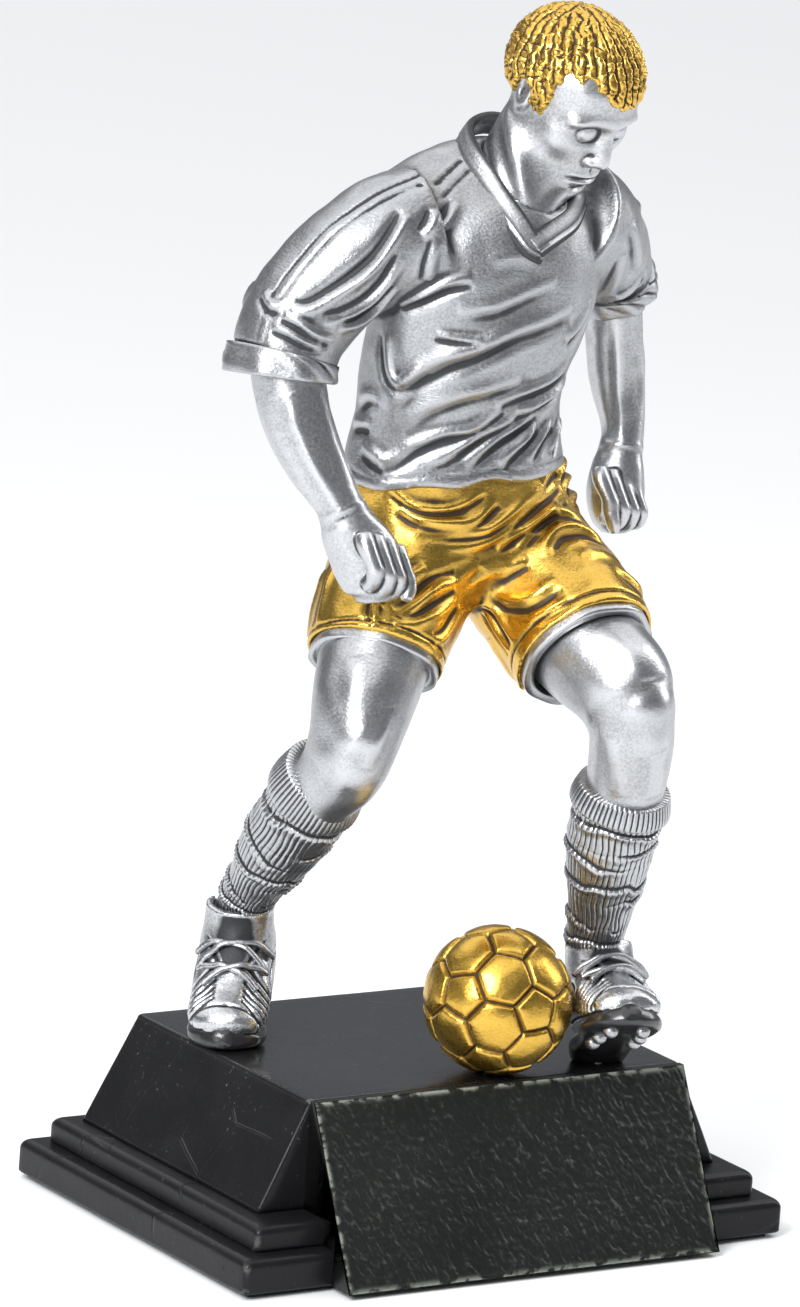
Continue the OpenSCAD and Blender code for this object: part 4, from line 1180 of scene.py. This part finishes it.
RIGHT_SLEEVE = [[-14, -3.5, 144.5, 10, 11.2], [-21.5, -2.5, 142.6, 10.2, 10.4],
                [-29, -0.5, 136.8, 9.8, 9.8], [-35, 1, 128.5, 9.5, 9.5], [-37.4, 0.5, 122.5, 9, 9]]
LEFT_SLEEVE = [[15, -4.5, 146, 9.5, 11], [21, -2, 143.5, 8.8, 9.8], [26, 1.5, 139.5, 8, 8.8],
               [29.8, 4.2, 135.8, 7.4, 7.7], [31.8, 5.4, 132.8, 6.9, 7.1]]
RIGHT_CUFF = [[-37.2, 0.6, 123.4, 9.1, 9.1], [-37.4, 0.5, 122.5, 9.1, 9.1], [-37.8, 0.2, 119.6, 9.4, 9.4]]
LEFT_CUFF = [[31.2, 5, 133.9, 7, 7.2], [31.8, 5.4, 132.8, 7, 7.2], [33, 6.1, 130.4, 7.2, 7.4]]
FORWARD = (0, -1, 0)
NECK = [[2.8, -6, 141, 8.2, 8.8], [3.4, -5.2, 150, 7.8, 8.2], [5, -5.6, 157.5, 7.4, 7.8],
        [8, -8, 165, 7.2, 8]]
SHIRT_FOLDS = [
    ([(-160, 0.75), (-148, 1.2), (-137, 1.7), (-122, 2.05), (-105, 2.3), (-90, 2.75)], 1.05, 1.15, 0.9),
    ([(-130, 0.75), (-119, 1.3), (-108, 1.8), (-95, 2.2), (-80, 2.5)], 0.95, 1.05, 0.9),
    ([(-109, 0.6), (-103, 1.2), (-92, 1.8), (-78, 2.2), (-60, 2.5)], 0.95, 1.0, 0.9),
    ([(-90, 0.45), (-85, 0.95), (-75, 1.5), (-63, 2.0)], 1.05, 1.15, 0.9),
    ([(-160, 2.4), (-147, 3.0), (-132, 3.4), (-115, 3.75), (-99, 4.2), (-83, 4.5),
      (-62, 4.8)], 1.7, 1.5, 0.95),
    ([(-150, 2.1), (-135, 2.6), (-118, 2.9), (-100, 3.1), (-82, 3.3)], 1.3, 0.7, 0.8),
    ([(-130, 4.4), (-112, 4.65), (-97, 4.95), (-78, 5.3)], 1.3, 0.8, 0.8),
    ([(-138, 3.8), (-126, 3.85), (-112, 3.95)], 0.6, 0.75, 0.9),
    ([(-166, 4.2), (-152, 4.55), (-140, 4.85), (-126, 5.05)], 1.0, 1.3, 0.9),
    ([(-170, 3.5), (-160, 3.0), (-150, 2.95), (-138, 3.25)], 1.0, 0.9, 0.9),
    ([(-82, 2.55), (-66, 2.65), (-50, 2.8), (-34, 3.0)], 1.0, 1.3, 1.0),
    ([(-96, 2.8), (-80, 3.0), (-62, 3.2), (-44, 3.5)], 0.95, 0.9, 0.9),
    ([(-72, 0.5), (-66, 1.0), (-56, 1.5), (-46, 1.8)], 0.9, 0.9, 0.9),
    ([(-52, 0.6), (-44, 1.1), (-32, 1.6)], 0.9, 0.9, 0.9),
    ([(-176, 1.3), (-164, 1.15), (-152, 0.8)], 1.1, 0.9, 1.0),
    ([(-190, 2.2), (-178, 2.5), (-166, 2.6)], 1.1, 0.9, 0.9),
    ([(-195, 1.6), (-182, 1.8), (-170, 1.9)], 1.0, 0.8, 0.9),
    ([(-146, 6.4), (-149, 6.0), (-156, 5.7)], 0.9, 0.8, 0.7),
    ([(-60, 4.0), (-50, 4.4), (-42, 4.9)], 1.1, 0.8, 0.8),
    ([(-120, 5.4), (-105, 5.6), (-92, 5.6)], 1.3, 0.4, 0.6),
    ([(20, 1.0), (45, 1.6), (70, 2.0), (95, 2.2)], 1.2, 1.0, 0.9),
    ([(30, 2.2), (60, 2.6), (90, 2.8), (120, 2.7)], 1.3, 1.1, 0.9),
    ([(60, 3.8), (85, 3.6), (110, 3.4), (140, 3.0)], 1.4, 1.1, 0.9),
    ([(70, 0.6), (95, 1.1), (120, 1.4), (150, 1.4)], 1.1, 1.0, 0.9),
    ([(15, 4.4), (40, 4.2), (65, 4.3), (90, 4.7)], 1.4, 1.0, 0.9),
    ([(100, 4.8), (125, 4.3), (150, 4.1)], 1.3, 0.9, 0.9),
    ([(40, 0.4), (52, 0.9), (70, 1.3)], 0.9, 0.8, 0.9),
    ([(110, 0.4), (122, 0.8), (140, 1.0)], 0.9, 0.8, 0.9)]
RIGHT_SLEEVE_FOLDS = [
    ([(-326, 0.7), (-340, 1.0), (-350, 1.4), (-351, 1.85), (-344, 2.3), (-332, 2.7),
      (-316, 2.9)], 1.0, 1.25, 1.0),
    ([(-360, 1.0), (-376, 1.5), (-378, 2.0), (-366, 2.45), (-350, 2.75)], 0.85, 1.0, 1.0),
    ([(-388, 1.3), (-396, 1.9), (-386, 2.4), (-368, 2.7)], 0.8, 0.9, 1.0),
    ([(-310, 3.05), (-330, 3.05), (-350, 3.1), (-372, 2.95)], 0.75, 0.9, 1.0),
    ([(-305, 3.35), (-325, 3.4), (-345, 3.5), (-365, 3.45)], 0.7, 0.8, 1.0),
    ([(-275, 2.85), (-292, 3.0), (-306, 2.95)], 0.8, 0.8, 0.9),
    ([(-330, 0.1), (-342, 0.35), (-352, 0.6)], 0.9, 0.9, 0.9),
    ([(-355, 0.25), (-375, 0.45), (-395, 0.5)], 0.8, 0.8, 0.9),
    ([(-240, 2.8), (-225, 3.1), (-200, 3.1)], 0.9, 0.8, 0.9),
    ([(-200, 2.2), (-180, 2.6), (-160, 2.7)], 1.0, 0.9, 0.9),
    ([(-150, 1.4), (-130, 2.0), (-120, 2.6)], 1.1, 0.9, 0.9)]
LEFT_SLEEVE_FOLDS = [
    ([(-350, 1.0), (-338, 1.6), (-325, 2.2), (-312, 2.7)], 1.1, 0.6, 0.7),
    ([(-320, 2.9), (-335, 3.0), (-350, 2.9), (-368, 2.7)], 0.7, 0.9, 1.0),
    ([(-315, 3.45), (-335, 3.5), (-355, 3.4), (-372, 3.2)], 0.65, 0.8, 1.0),
    ([(-380, 0.8), (-372, 1.5), (-366, 2.2)], 1.2, 0.5, 0.7),
    ([(-60, 1.2), (-80, 1.9), (-100, 2.5)], 1.0, 0.9, 0.9),
    ([(-140, 1.6), (-160, 2.2), (-190, 2.6)], 1.0, 0.8, 0.9),
    ([(-90, 3.0), (-120, 3.1), (-150, 3.0)], 0.8, 0.7, 0.9)]


def shirt_clay():
    """Body, shoulders and sleeves joined with fillets; the waist and the neck are hollowed."""
    clay = Clay((-50, -24, 97), (44, 26, 164), 0.46)
    clay.add(clay.form(limb(SHIRT, around=96)), 0.2)
    body = clay.body.copy()
    clay.add(clay.form(limb(YOKE, FORWARD)), 4.0)
    clay.add(clay.form(limb(RIGHT_SLEEVE, FORWARD)), 2.2)
    clay.add(clay.form(limb(LEFT_SLEEVE, FORWARD)), 2.2)
    x, y, z = clay.places()
    under = (z - 104.5) + 0.127 * x + 0 * y
    clay.cut(np.maximum(body + 1.1, under.astype(np.float32)), 0.5)
    neck = [[r[0], r[1], r[2], r[3] + 0.3, r[4] + 0.3] for r in NECK]
    deep = np.maximum(clay.form(limb(neck)), (143.5 - z - 0.25 * y + 0 * x).astype(np.float32))
    clay.cut(deep, 0.6)
    return clay


clay = shirt_clay()
points, quads = clay.skin(8)
normal = facing(points, quads)
lift = 0.1 * lattice_noise(points, 2.8, 61) + 0.35 * lattice_noise(points, 8.0, 62)
for line, width, height, valley in (lines_on(SHIRT, SIDEWAYS, SHIRT_FOLDS)
                                    + lines_on(RIGHT_SLEEVE, FORWARD, RIGHT_SLEEVE_FOLDS)
                                    + lines_on(LEFT_SLEEVE, FORWARD, LEFT_SLEEVE_FOLDS)):
    lift += fold(points, normal, line, width, height, valley)
piping = [skin_point(RIGHT_SLEEVE, FORWARD, np.linspace(0.35, 4, 9), np.full(9, a))
          for a in (-290.0, -302.0)]
piping = [np.vstack([run_of(np.vstack([line[0], (line[0] + neck) / 2 + [0, 0, 0.8], neck]),
                            2.0)[0][::-1][:-1], line])
          for line, neck in zip(piping, np.array([[-7.2, -3.4, 156.0], [-6.6, -5.6, 154.2]]))]
piping += [skin_point(LEFT_SLEEVE, FORWARD, np.linspace(0.4, 4, 9), np.full(9, a)) for a in (-62.0, -50.0)]
piping = [laid_on(line, 0 * line + unit(np.array([-0.35, 0, 1.0])), points, 0.6, 0) for line in piping]
seams = sum(groove(points, line, 0.36, -1.0) for line in piping)
lift -= 0.5 * seams
lift += groove(points, hem_line(SHIRT, SIDEWAYS, 0.3), 0.28, 0.22)
wave = np.clip(1 - (points[:, 2] + 0.127 * points[:, 0] - 101.5) / 5, 0, 1)
angle = np.arctan2(points[:, 1] - 3, points[:, 0])
points = points + normal * lift[:, None]
points[:, 2] += wave * (0.55 * np.sin(3 * angle + 0.5) + 0.35 * np.sin(7 * angle) - 0.2)
shirt_points = points
silver_cloth = metal_paint("silver_on_shirt", (0.27, 0.275, 0.285), (0.5, 0.51, 0.53), SILVER_DARK,
                           grain=0.00009, roughness=0.34, wash=0.95, low_hollow=0.06, high_hollow=0.85)
cast("shirt_drape", on_plate(points), [quads], silver_cloth, "silver_paint",
     ["shirt", "right_sleeve", "left_sleeve"], hollow=hollow_of(points, quads, 4) * 1.5 + 0.8 * seams)

# ---------------------------------------------------------------- Sleeve cuffs
# The turned-up end of each sleeve: a thick soft band with a stitched line and a rolled edge,
# open round the bare arm.


def cuff_ripple(t, degrees):
    """A shallow waist at the stitching and slow waves round the band."""
    a = np.radians(degrees)
    crease = np.exp(-((np.mod(a * 4 / np.pi + 0.9 * t + 0.5 * np.sin(2 * a), 1) - 0.5) / 0.16) ** 2)
    return 0.25 * np.sin(a * 3 + 1) + 0.15 * np.sin(a * 8) * t - 0.3 * crease * np.sin(a + 2)


for who, rows in (("right", RIGHT_CUFF), ("left", LEFT_CUFF)):
    outline = lip(0.3, 2.05, 0.75, -1.7, 14)
    points, quads = turned_band(rows, FORWARD, outline, 220, cuff_ripple)
    lift = groove(points, hem_line(rows, FORWARD, 1.1, 41), 0.3, 0.5)
    points = points + facing(points, quads) * lift[:, None]
    cast(who + "_sleeve_cuff", on_plate(points), [quads], silver_cloth, "silver_paint", [who + "_cuff"],
         hollow=hollow_of(points, quads, 3))

# ---------------------------------------------------------------- Collar
# A flat knitted band with a V at the front, standing a little off the neck. One edge crosses
# over the other at the point of the V, and a piped line follows its outer edge.
COLLAR = [[1.2, -17.6, 142.6], [-0.9, -16.8, 143.8], [-2.6, -13.9, 147.4], [-4.4, -9.5, 152],
          [-5.6, -2.5, 158], [-1.5, 3.5, 160.4], [6, 5.5, 160.6], [13, 1.5, 156.2],
          [14.2, -6.5, 150.6], [10.2, -11.8, 147.6],
          [4.2, -14.9, 145.0], [-0.2, -16.6, 143.0]]
COLLAR_WIDTH, COLLAR_THICK = 2.2, 0.85
OUTER_SIDE = -1


def collar(surface, rings=360, around=40):
    """A flattened oval carried along an open curve that is laid on the shirt. Its broad side
    follows the slope of the cloth, and a groove runs along its outer edge."""
    t = np.linspace(0, len(COLLAR) - 1, rings)
    path = curve(COLLAR, t)
    centre = np.array([4.5, -4.5, 150.0])
    out = unit(unit((path - centre) * [1, 1, 0]) + [0, 0, 0.6])
    u = t[:, None] / (len(COLLAR) - 1)
    laid = laid_on(path, out, surface, 1.6, 0.1)
    hold = np.clip(np.minimum(u, 1 - u) / 0.3, 0, 1)
    path = laid * (1 - hold) + path * hold
    for _ in range(30):
        path[1:-1] = 0.5 * path[1:-1] + 0.25 * (path[:-2] + path[2:])
    path += out * 0.45 * np.clip((u - 0.9) / 0.06, 0, 1)
    way = unit(np.gradient(path, axis=0))
    out = unit(out - (out * way).sum(1)[:, None] * way)
    wide = np.cross(way, out)
    a = np.linspace(0, 2 * np.pi, around, endpoint=False)
    across = COLLAR_WIDTH * np.sign(np.cos(a)) * np.abs(np.cos(a)) ** 0.6
    thick = COLLAR_THICK * np.sign(np.sin(a)) * np.abs(np.sin(a)) ** 0.6
    thick = thick * (1 - 0.4 * np.exp(-((across * OUTER_SIDE - 1.3) / 0.25) ** 2) * (np.sin(a) > 0))
    points = path[:, None] + wide[:, None] * across[None, :, None] + out[:, None] * thick[None, :, None]
    points = np.vstack([points.reshape(-1, 3), path[:1], path[-1:]])
    return points, net(rings, around), ends(rings, around)


points, quads, caps = collar(shirt_points)
cast("collar_band", on_plate(points), [quads, caps], silver_cloth, "silver_paint", ["collar"],
     hollow=hollow_of(points, quads, 2))

# ---------------------------------------------------------------- Arms and hands
# Bare forearms that taper to the wrist, and loose fists with the fingers curled down over the
# palm. Arm and hand are one carving, smooth, with the undercoat left between the fingers.
RIGHT_ARM = [[-37, 0.8, 126, 6, 6], [-36.9, -0.5, 120, 6.2, 6.2], [-36, -3, 113, 5.8, 5.9],
             [-33.8, -7, 105.5, 4.9, 5], [-30.6, -10.8, 98.5, 3.9, 3.7]]
LEFT_ARM = [[30.8, 5, 136, 5, 5], [33.2, 6.5, 127, 5, 5.1], [35.2, 7, 115.5, 4.7, 4.8],
            [36, 5.2, 108, 3.8, 3.9], [35.4, 3.8, 103.5, 3.5, 3.6]]
RIGHT_PALM = [[-30.6, -10.8, 98.5, 3.9, 3.5], [-29.4, -12, 95, 5.2, 3.9], [-27, -13.5, 90.5, 6.0, 4.2],
              [-25.6, -14.5, 86, 5.2, 3.8], [-25.4, -14.8, 83.5, 3.2, 2.6]]
LEFT_PALM = [[35.4, 3.8, 103.5, 3.5, 3.4], [34.7, 3.5, 100, 4.6, 4.1], [34.2, 3, 95.5, 5.1, 4.6],
             [34.3, 2.6, 91, 4.3, 4.1], [34.4, 2.5, 88.8, 2.6, 2.6]]
FIST_SIDE = (0.84, -0.53, 0)
FINGER = [[0.2, 1.0, 1.6, 1.35, 1.35], [0, -0.2, 0, 1.5, 1.5], [0.7, -1.7, -2.8, 1.3, 1.3],
          [1.1, -1.7, -4.0, 1.42, 1.42], [1.3, -0.9, -5.9, 1.2, 1.2], [1.1, 0.5, -7, 1.0, 1.0]]
KNUCKLES = {"right": [-29.9, -17.4, 93.9], "left": [28.3, -0.8, 99.0]}
FINGER_SIZES = (1.06, 1.12, 1.06, 0.92)
FINGER_STEP = np.array([2.55, 0.35, -0.85])
THUMBS = {"right": [[-26.5, -12.5, 94.5, 1.7, 1.7], [-21.6, -15.6, 90, 1.5, 1.5],
                    [-21.2, -18.2, 86.6, 1.4, 1.4], [-22.2, -19.4, 84.4, 1.0, 1.0]],
          "left": [[32, 1.5, 99, 1.6, 1.6], [29.6, -2.2, 95.5, 1.4, 1.4], [29.6, -3.4, 92, 1.3, 1.3],
                   [30.4, -3.2, 90, 0.9, 0.9]]}


def arm(who, low, high, arm_rows, palm_rows, muscles):
    """Forearm and palm, with one bent finger set four times along the knuckles, and a thumb."""
    clay = Clay(low, high, 0.26)
    clay.add(clay.form(limb(arm_rows, FORWARD)), 0.2)
    clay.add(clay.form(limb(palm_rows, FIST_SIDE)), 1.6)
    for i, size in enumerate(FINGER_SIZES):
        knuckle = np.array(KNUCKLES[who]) + i * FINGER_STEP
        rows = [[*(knuckle + np.array(r[:3]) * size), r[3] * size, r[4] * size] for r in FINGER]
        clay.add(clay.form(limb(rows, around=28, per_row=5)), 0.45)
    clay.add(clay.form(limb(THUMBS[who], around=28, per_row=5)), 0.6)
    points, quads = clay.skin(3)
    normal = facing(points, quads)
    lift = 0.06 * lattice_noise(points, 2.4, 71)
    for line, width, height in muscles:
        lift += fold(points, normal, line, width, height, 0.5)
    points = points + normal * lift[:, None]
    cast(who + "_arm_skin", on_plate(points), [quads], silver_skin, "silver_paint",
         [who + "_forearm", who + "_hand"], hollow=hollow_of(points, quads, 4) * 1.2)


arm("right", (-46, -24, 80), (-16, 9, 129), RIGHT_ARM, RIGHT_PALM,
    [([[-40, -5.5, 118], [-38.5, -9, 110], [-35, -12.2, 103], [-32.4, -14, 98]], 1.3, 0.5),
     ([[-35, -6.4, 119], [-33, -8.8, 110], [-30.4, -11.5, 103]], 1.4, 0.45),
     ([[-42, 0, 116], [-39.6, -3.5, 108], [-35.8, -8, 101]], 1.4, 0.45)])
arm("left", (22, -8, 84), (44, 14, 139), LEFT_ARM, LEFT_PALM,
    [([[31.5, 2, 127], [32.6, 2.4, 118], [33.6, 2, 110], [33.6, 0.8, 104]], 1.2, 0.5),
     ([[36.5, 2.6, 124], [38.4, 3.4, 116], [38.2, 3, 108]], 1.2, 0.45)])

# ---------------------------------------------------------------- Head
# The head is bent to look at the ball. Its face is a plain sculptor's face on the usual
# proportions: eyes half way down, nose and mouth at thirds, calm and with the lids lowered.
HEAD_AT = np.array([10.6, -9.5, 171.6])
HEAD_PITCH, HEAD_YAW = 30, 15
SKULL = (9.7, 11.5, 9.9)
JAW = [[0, -0.4, 5.6, 7.4, 8.8], [0, -1.1, 1, 9.2, 10.7], [0, -2.8, -5, 8.6, 9.5],
       [0, -4.3, -10, 7.3, 7.7], [0, -5.6, -14.2, 5.4, 5.5], [0, -6.4, -16.6, 3.0, 3.2]]
NOSE = [[0, -10.2, -2.0, 1.2, 1.0], [0, -11.6, -4.8, 1.05, 1.2], [0, -12.9, -7.4, 1.3, 1.4],
        [0, -13.2, -8.8, 1.35, 1.2]]


def in_head(points):
    """Turns points of the upright head to its place on the neck."""
    return turned(points, HEAD_PITCH, 0, HEAD_YAW) + HEAD_AT


def head_shape(shape):
    """A closed limb of the upright head, turned to its place."""
    return in_head(shape[0]), shape[1], shape[2]


def head_places(clay):
    """The cells' coordinates as seen from the upright head."""
    x, y, z = clay.places()
    turn = turned(np.eye(3), HEAD_PITCH, 0, HEAD_YAW)
    x, y, z = x - HEAD_AT[0], y - HEAD_AT[1], z - HEAD_AT[2]
    return [(x * turn[i][0] + y * turn[i][1] + z * turn[i][2]).astype(np.float32) for i in range(3)]


def head_clay():
    """Neck, skull and jaw, with eggs added and cut for chin, cheeks, brow, eyes, lids, nose,
    ears and lips, each pair set at s = -1 and 1 on both sides of the middle."""
    clay = Clay((-8, -32, 140), (28, 14, 186), 0.25)
    local = head_places(clay)
    x, y, z = local

    def add(centre, radii, soft, turn=(0, 0, 0)):
        clay.add(egg(local, centre, radii, turn), soft)

    def cut(centre, radii, soft, turn=(0, 0, 0)):
        clay.cut(egg(local, centre, radii, turn), soft)

    clay.add(clay.form(limb(NECK, around=72)), 0.2)
    add((0, 0, 0), SKULL, 2.5)
    clay.add(clay.form(head_shape(limb(JAW, around=72))), 2.5)
    add((0, -8.4, -15.4), (3.9, 3.4, 2.6), 3.2)
    add((0, -9.2, -12.2), (4.2, 2.7, 3.0), 2.6)
    for s in (-1, 1):
        add((s * 5.1, -7.4, -6.6), (3.3, 2.7, 2.7), 3.2)
        add((s * 3.4, -9.9, -1.7), (3.2, 1.5, 0.9), 2.4, (0, s * 8, 0))
        cut((s * 3.7, -12.0, -4.1), (2.6, 1.9, 1.6), 2.2)
    clay.add(clay.form(head_shape(limb(NOSE, around=36))), 2.0)
    add((0, -13.0, -8.7), (1.45, 1.4, 1.25), 0.7)
    for s in (-1, 1):
        add((s * 1.6, -11.9, -9.2), (1.0, 1.35, 0.95), 0.6)
        cut((s * 0.8, -12.7, -10.15), (0.42, 0.75, 0.45), 0.3)
        add((s * 3.7, -9.3, -4.2), (2.1, 2.0, 1.9), 0.3)
        lid = egg(local, (s * 3.7, -9.25, -4.15), (2.5, 2.35, 2.15))
        clay.add(np.maximum(lid, (-5.0 - z - 0.08 * np.abs(x)) * 0.95), 0.35)
        clay.add(np.maximum(lid + 0.12, (z + 5.45) * 0.95), 0.35)
        add((s * 9.5, 1.2, -3.6), (0.95, 2.3, 3.5), 0.6, (-14, 0, s * 22))
        cut((s * 10.5, 0.9, -3.2), (0.75, 1.35, 2.1), 0.4, (-14, 0, s * 22))
        add((s * 9.7, 0.2, -3.9), (0.7, 0.7, 1.1), 0.4)
        add((s * 9.0, 0.4, -6.6), (0.8, 1.1, 1.2), 0.6)
    add((0, -11.5, -12.35), (2.6, 1.05, 0.75), 0.6)
    add((0, -11.3, -13.75), (2.1, 1.15, 0.8), 0.6)
    cut((0, -13.1, -13.0), (2.6, 1.6, 0.16), 0.5)
    cut((0, -13.2, -11.0), (0.45, 0.9, 0.8), 0.6)
    cut((0, -12.0, -15.15), (2.2, 1.2, 0.55), 1.2)
    return clay


clay = head_clay()
points, quads = clay.skin(3)
normal = facing(points, quads)
lift = 0.05 * lattice_noise(points, 2.0, 81)
sternal = np.array([2.5, -14.5, 148.0])
for s in (-1, 1):
    behind = in_head(np.array([[s * 8.2, 3.2, -8.5]]))[0]
    middle = (behind + sternal) / 2 + [s * 2.4, -1.2, 0]
    lift += fold(points, normal, [behind, middle, sternal + [s * 1.2, 0, 0]], 1.5, 0.75, 0.6)
points = points + normal * lift[:, None]
cast("head_carving", on_plate(points), [quads], silver_skin, "silver_paint", ["head"],
     hollow=hollow_of(points, quads, 4) * 0.75)

# ---------------------------------------------------------------- Hair
# A short crop carved as rows of pointed locks that run from the crown to the fringe, painted
# gold. It stands a little off the skull, and comes down in front of each ear.
HAIR_PROUD = 1.35
CROWN = unit(np.array([0.0, 0.45, 0.9]))
LOCK_ROWS = 2.9


def hair_clay():
    """A shell round the skull, cut off below the line of the fringe, the sides and the nape."""
    clay = Clay((-6, -28, 156), (28, 12, 187), 0.22)
    local = head_places(clay)
    x, y, z = local
    clay.add(egg(local, (0, 0, 0), [r + HAIR_PROUD for r in SKULL]), 0.2)
    temple = 1.7 * np.exp(-((np.abs(x) - 6.4) / 1.9) ** 2) - 0.8 * np.exp(-(x / 3.5) ** 2)
    fringe = 3.3 + temple + 0.3 * np.sin(2.6 * x)
    side = -4.5 + 0.42 * (y + 1.5)
    back = -5.5
    line = np.where(y < -4.2, fringe + (y + 11) * 0.15, 0)
    line = np.where((y >= -4.2) & (y < -1.0), side, line)
    line = np.where(y >= -1.0, np.where(y > 3.2, back, -1.4), line)
    clay.cut(((z - line) * 0.8).astype(np.float32), 0.3)
    clay.cut(egg(local, (0, 0, 0), [r - 0.6 for r in SKULL]), 0.2)
    return clay


def locks(local):
    """Rows of locks round the crown. In each row the height is |sin| across a lock and falls
    towards its tip; every other row is set over by half a lock."""
    ray = unit(local / np.array(SKULL))
    away = np.arccos(np.clip(ray @ CROWN, -1, 1)) * 10.5
    first = unit(np.cross(CROWN, [1, 0, 0]))
    around = np.arctan2(ray @ np.cross(CROWN, first), ray @ first)
    wander = lattice_noise(local, 1.8, 91)
    height = 0.22 * lattice_noise(local, 0.8, 92)
    for offset, share in ((0.0, 0.6), (0.5, 0.5)):
        place = away / LOCK_ROWS + 0.6 * wander + offset + 0.2 * np.sin(5 * around)
        row = np.floor(place)
        u = place - row
        girth = 2 * np.pi * np.sin(np.clip(row * LOCK_ROWS / 10.5, 0.15, 1.6)) * 10.5
        count = np.round(np.clip(girth / 1.65, 6, 56))
        phase = around * count / 2 + row * 1.7 + 0.9 * wander
        height += share * (np.abs(np.cos(phase)) ** 0.7 * (1.1 - 0.8 * u) - 0.25)
    return height


clay = hair_clay()
points, quads = clay.skin(3)
normal = facing(points, quads)
upright = turned(turned(points - HEAD_AT, 0, 0, -HEAD_YAW), -HEAD_PITCH, 0, 0)
outer = np.linalg.norm(upright / (np.array(SKULL) + 0.4), axis=1) > 1
points = points + normal * (0.75 * locks(upright) * outer)[:, None]
gold_hair = metal_paint("gold_on_hair", (0.55, 0.33, 0.06), GOLD, GOLD_DARK, grain=0.00004,
                        roughness=0.26, wash=1.0, low_hollow=0.1, high_hollow=0.9)
cast("hair_crop", on_plate(points), [quads], gold_hair, "gold_paint", ["hair"],
     hollow=hollow_of(points, quads, 2))

# ---------------------------------------------------------------- Sizes
# The box of what is shown.
low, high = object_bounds()
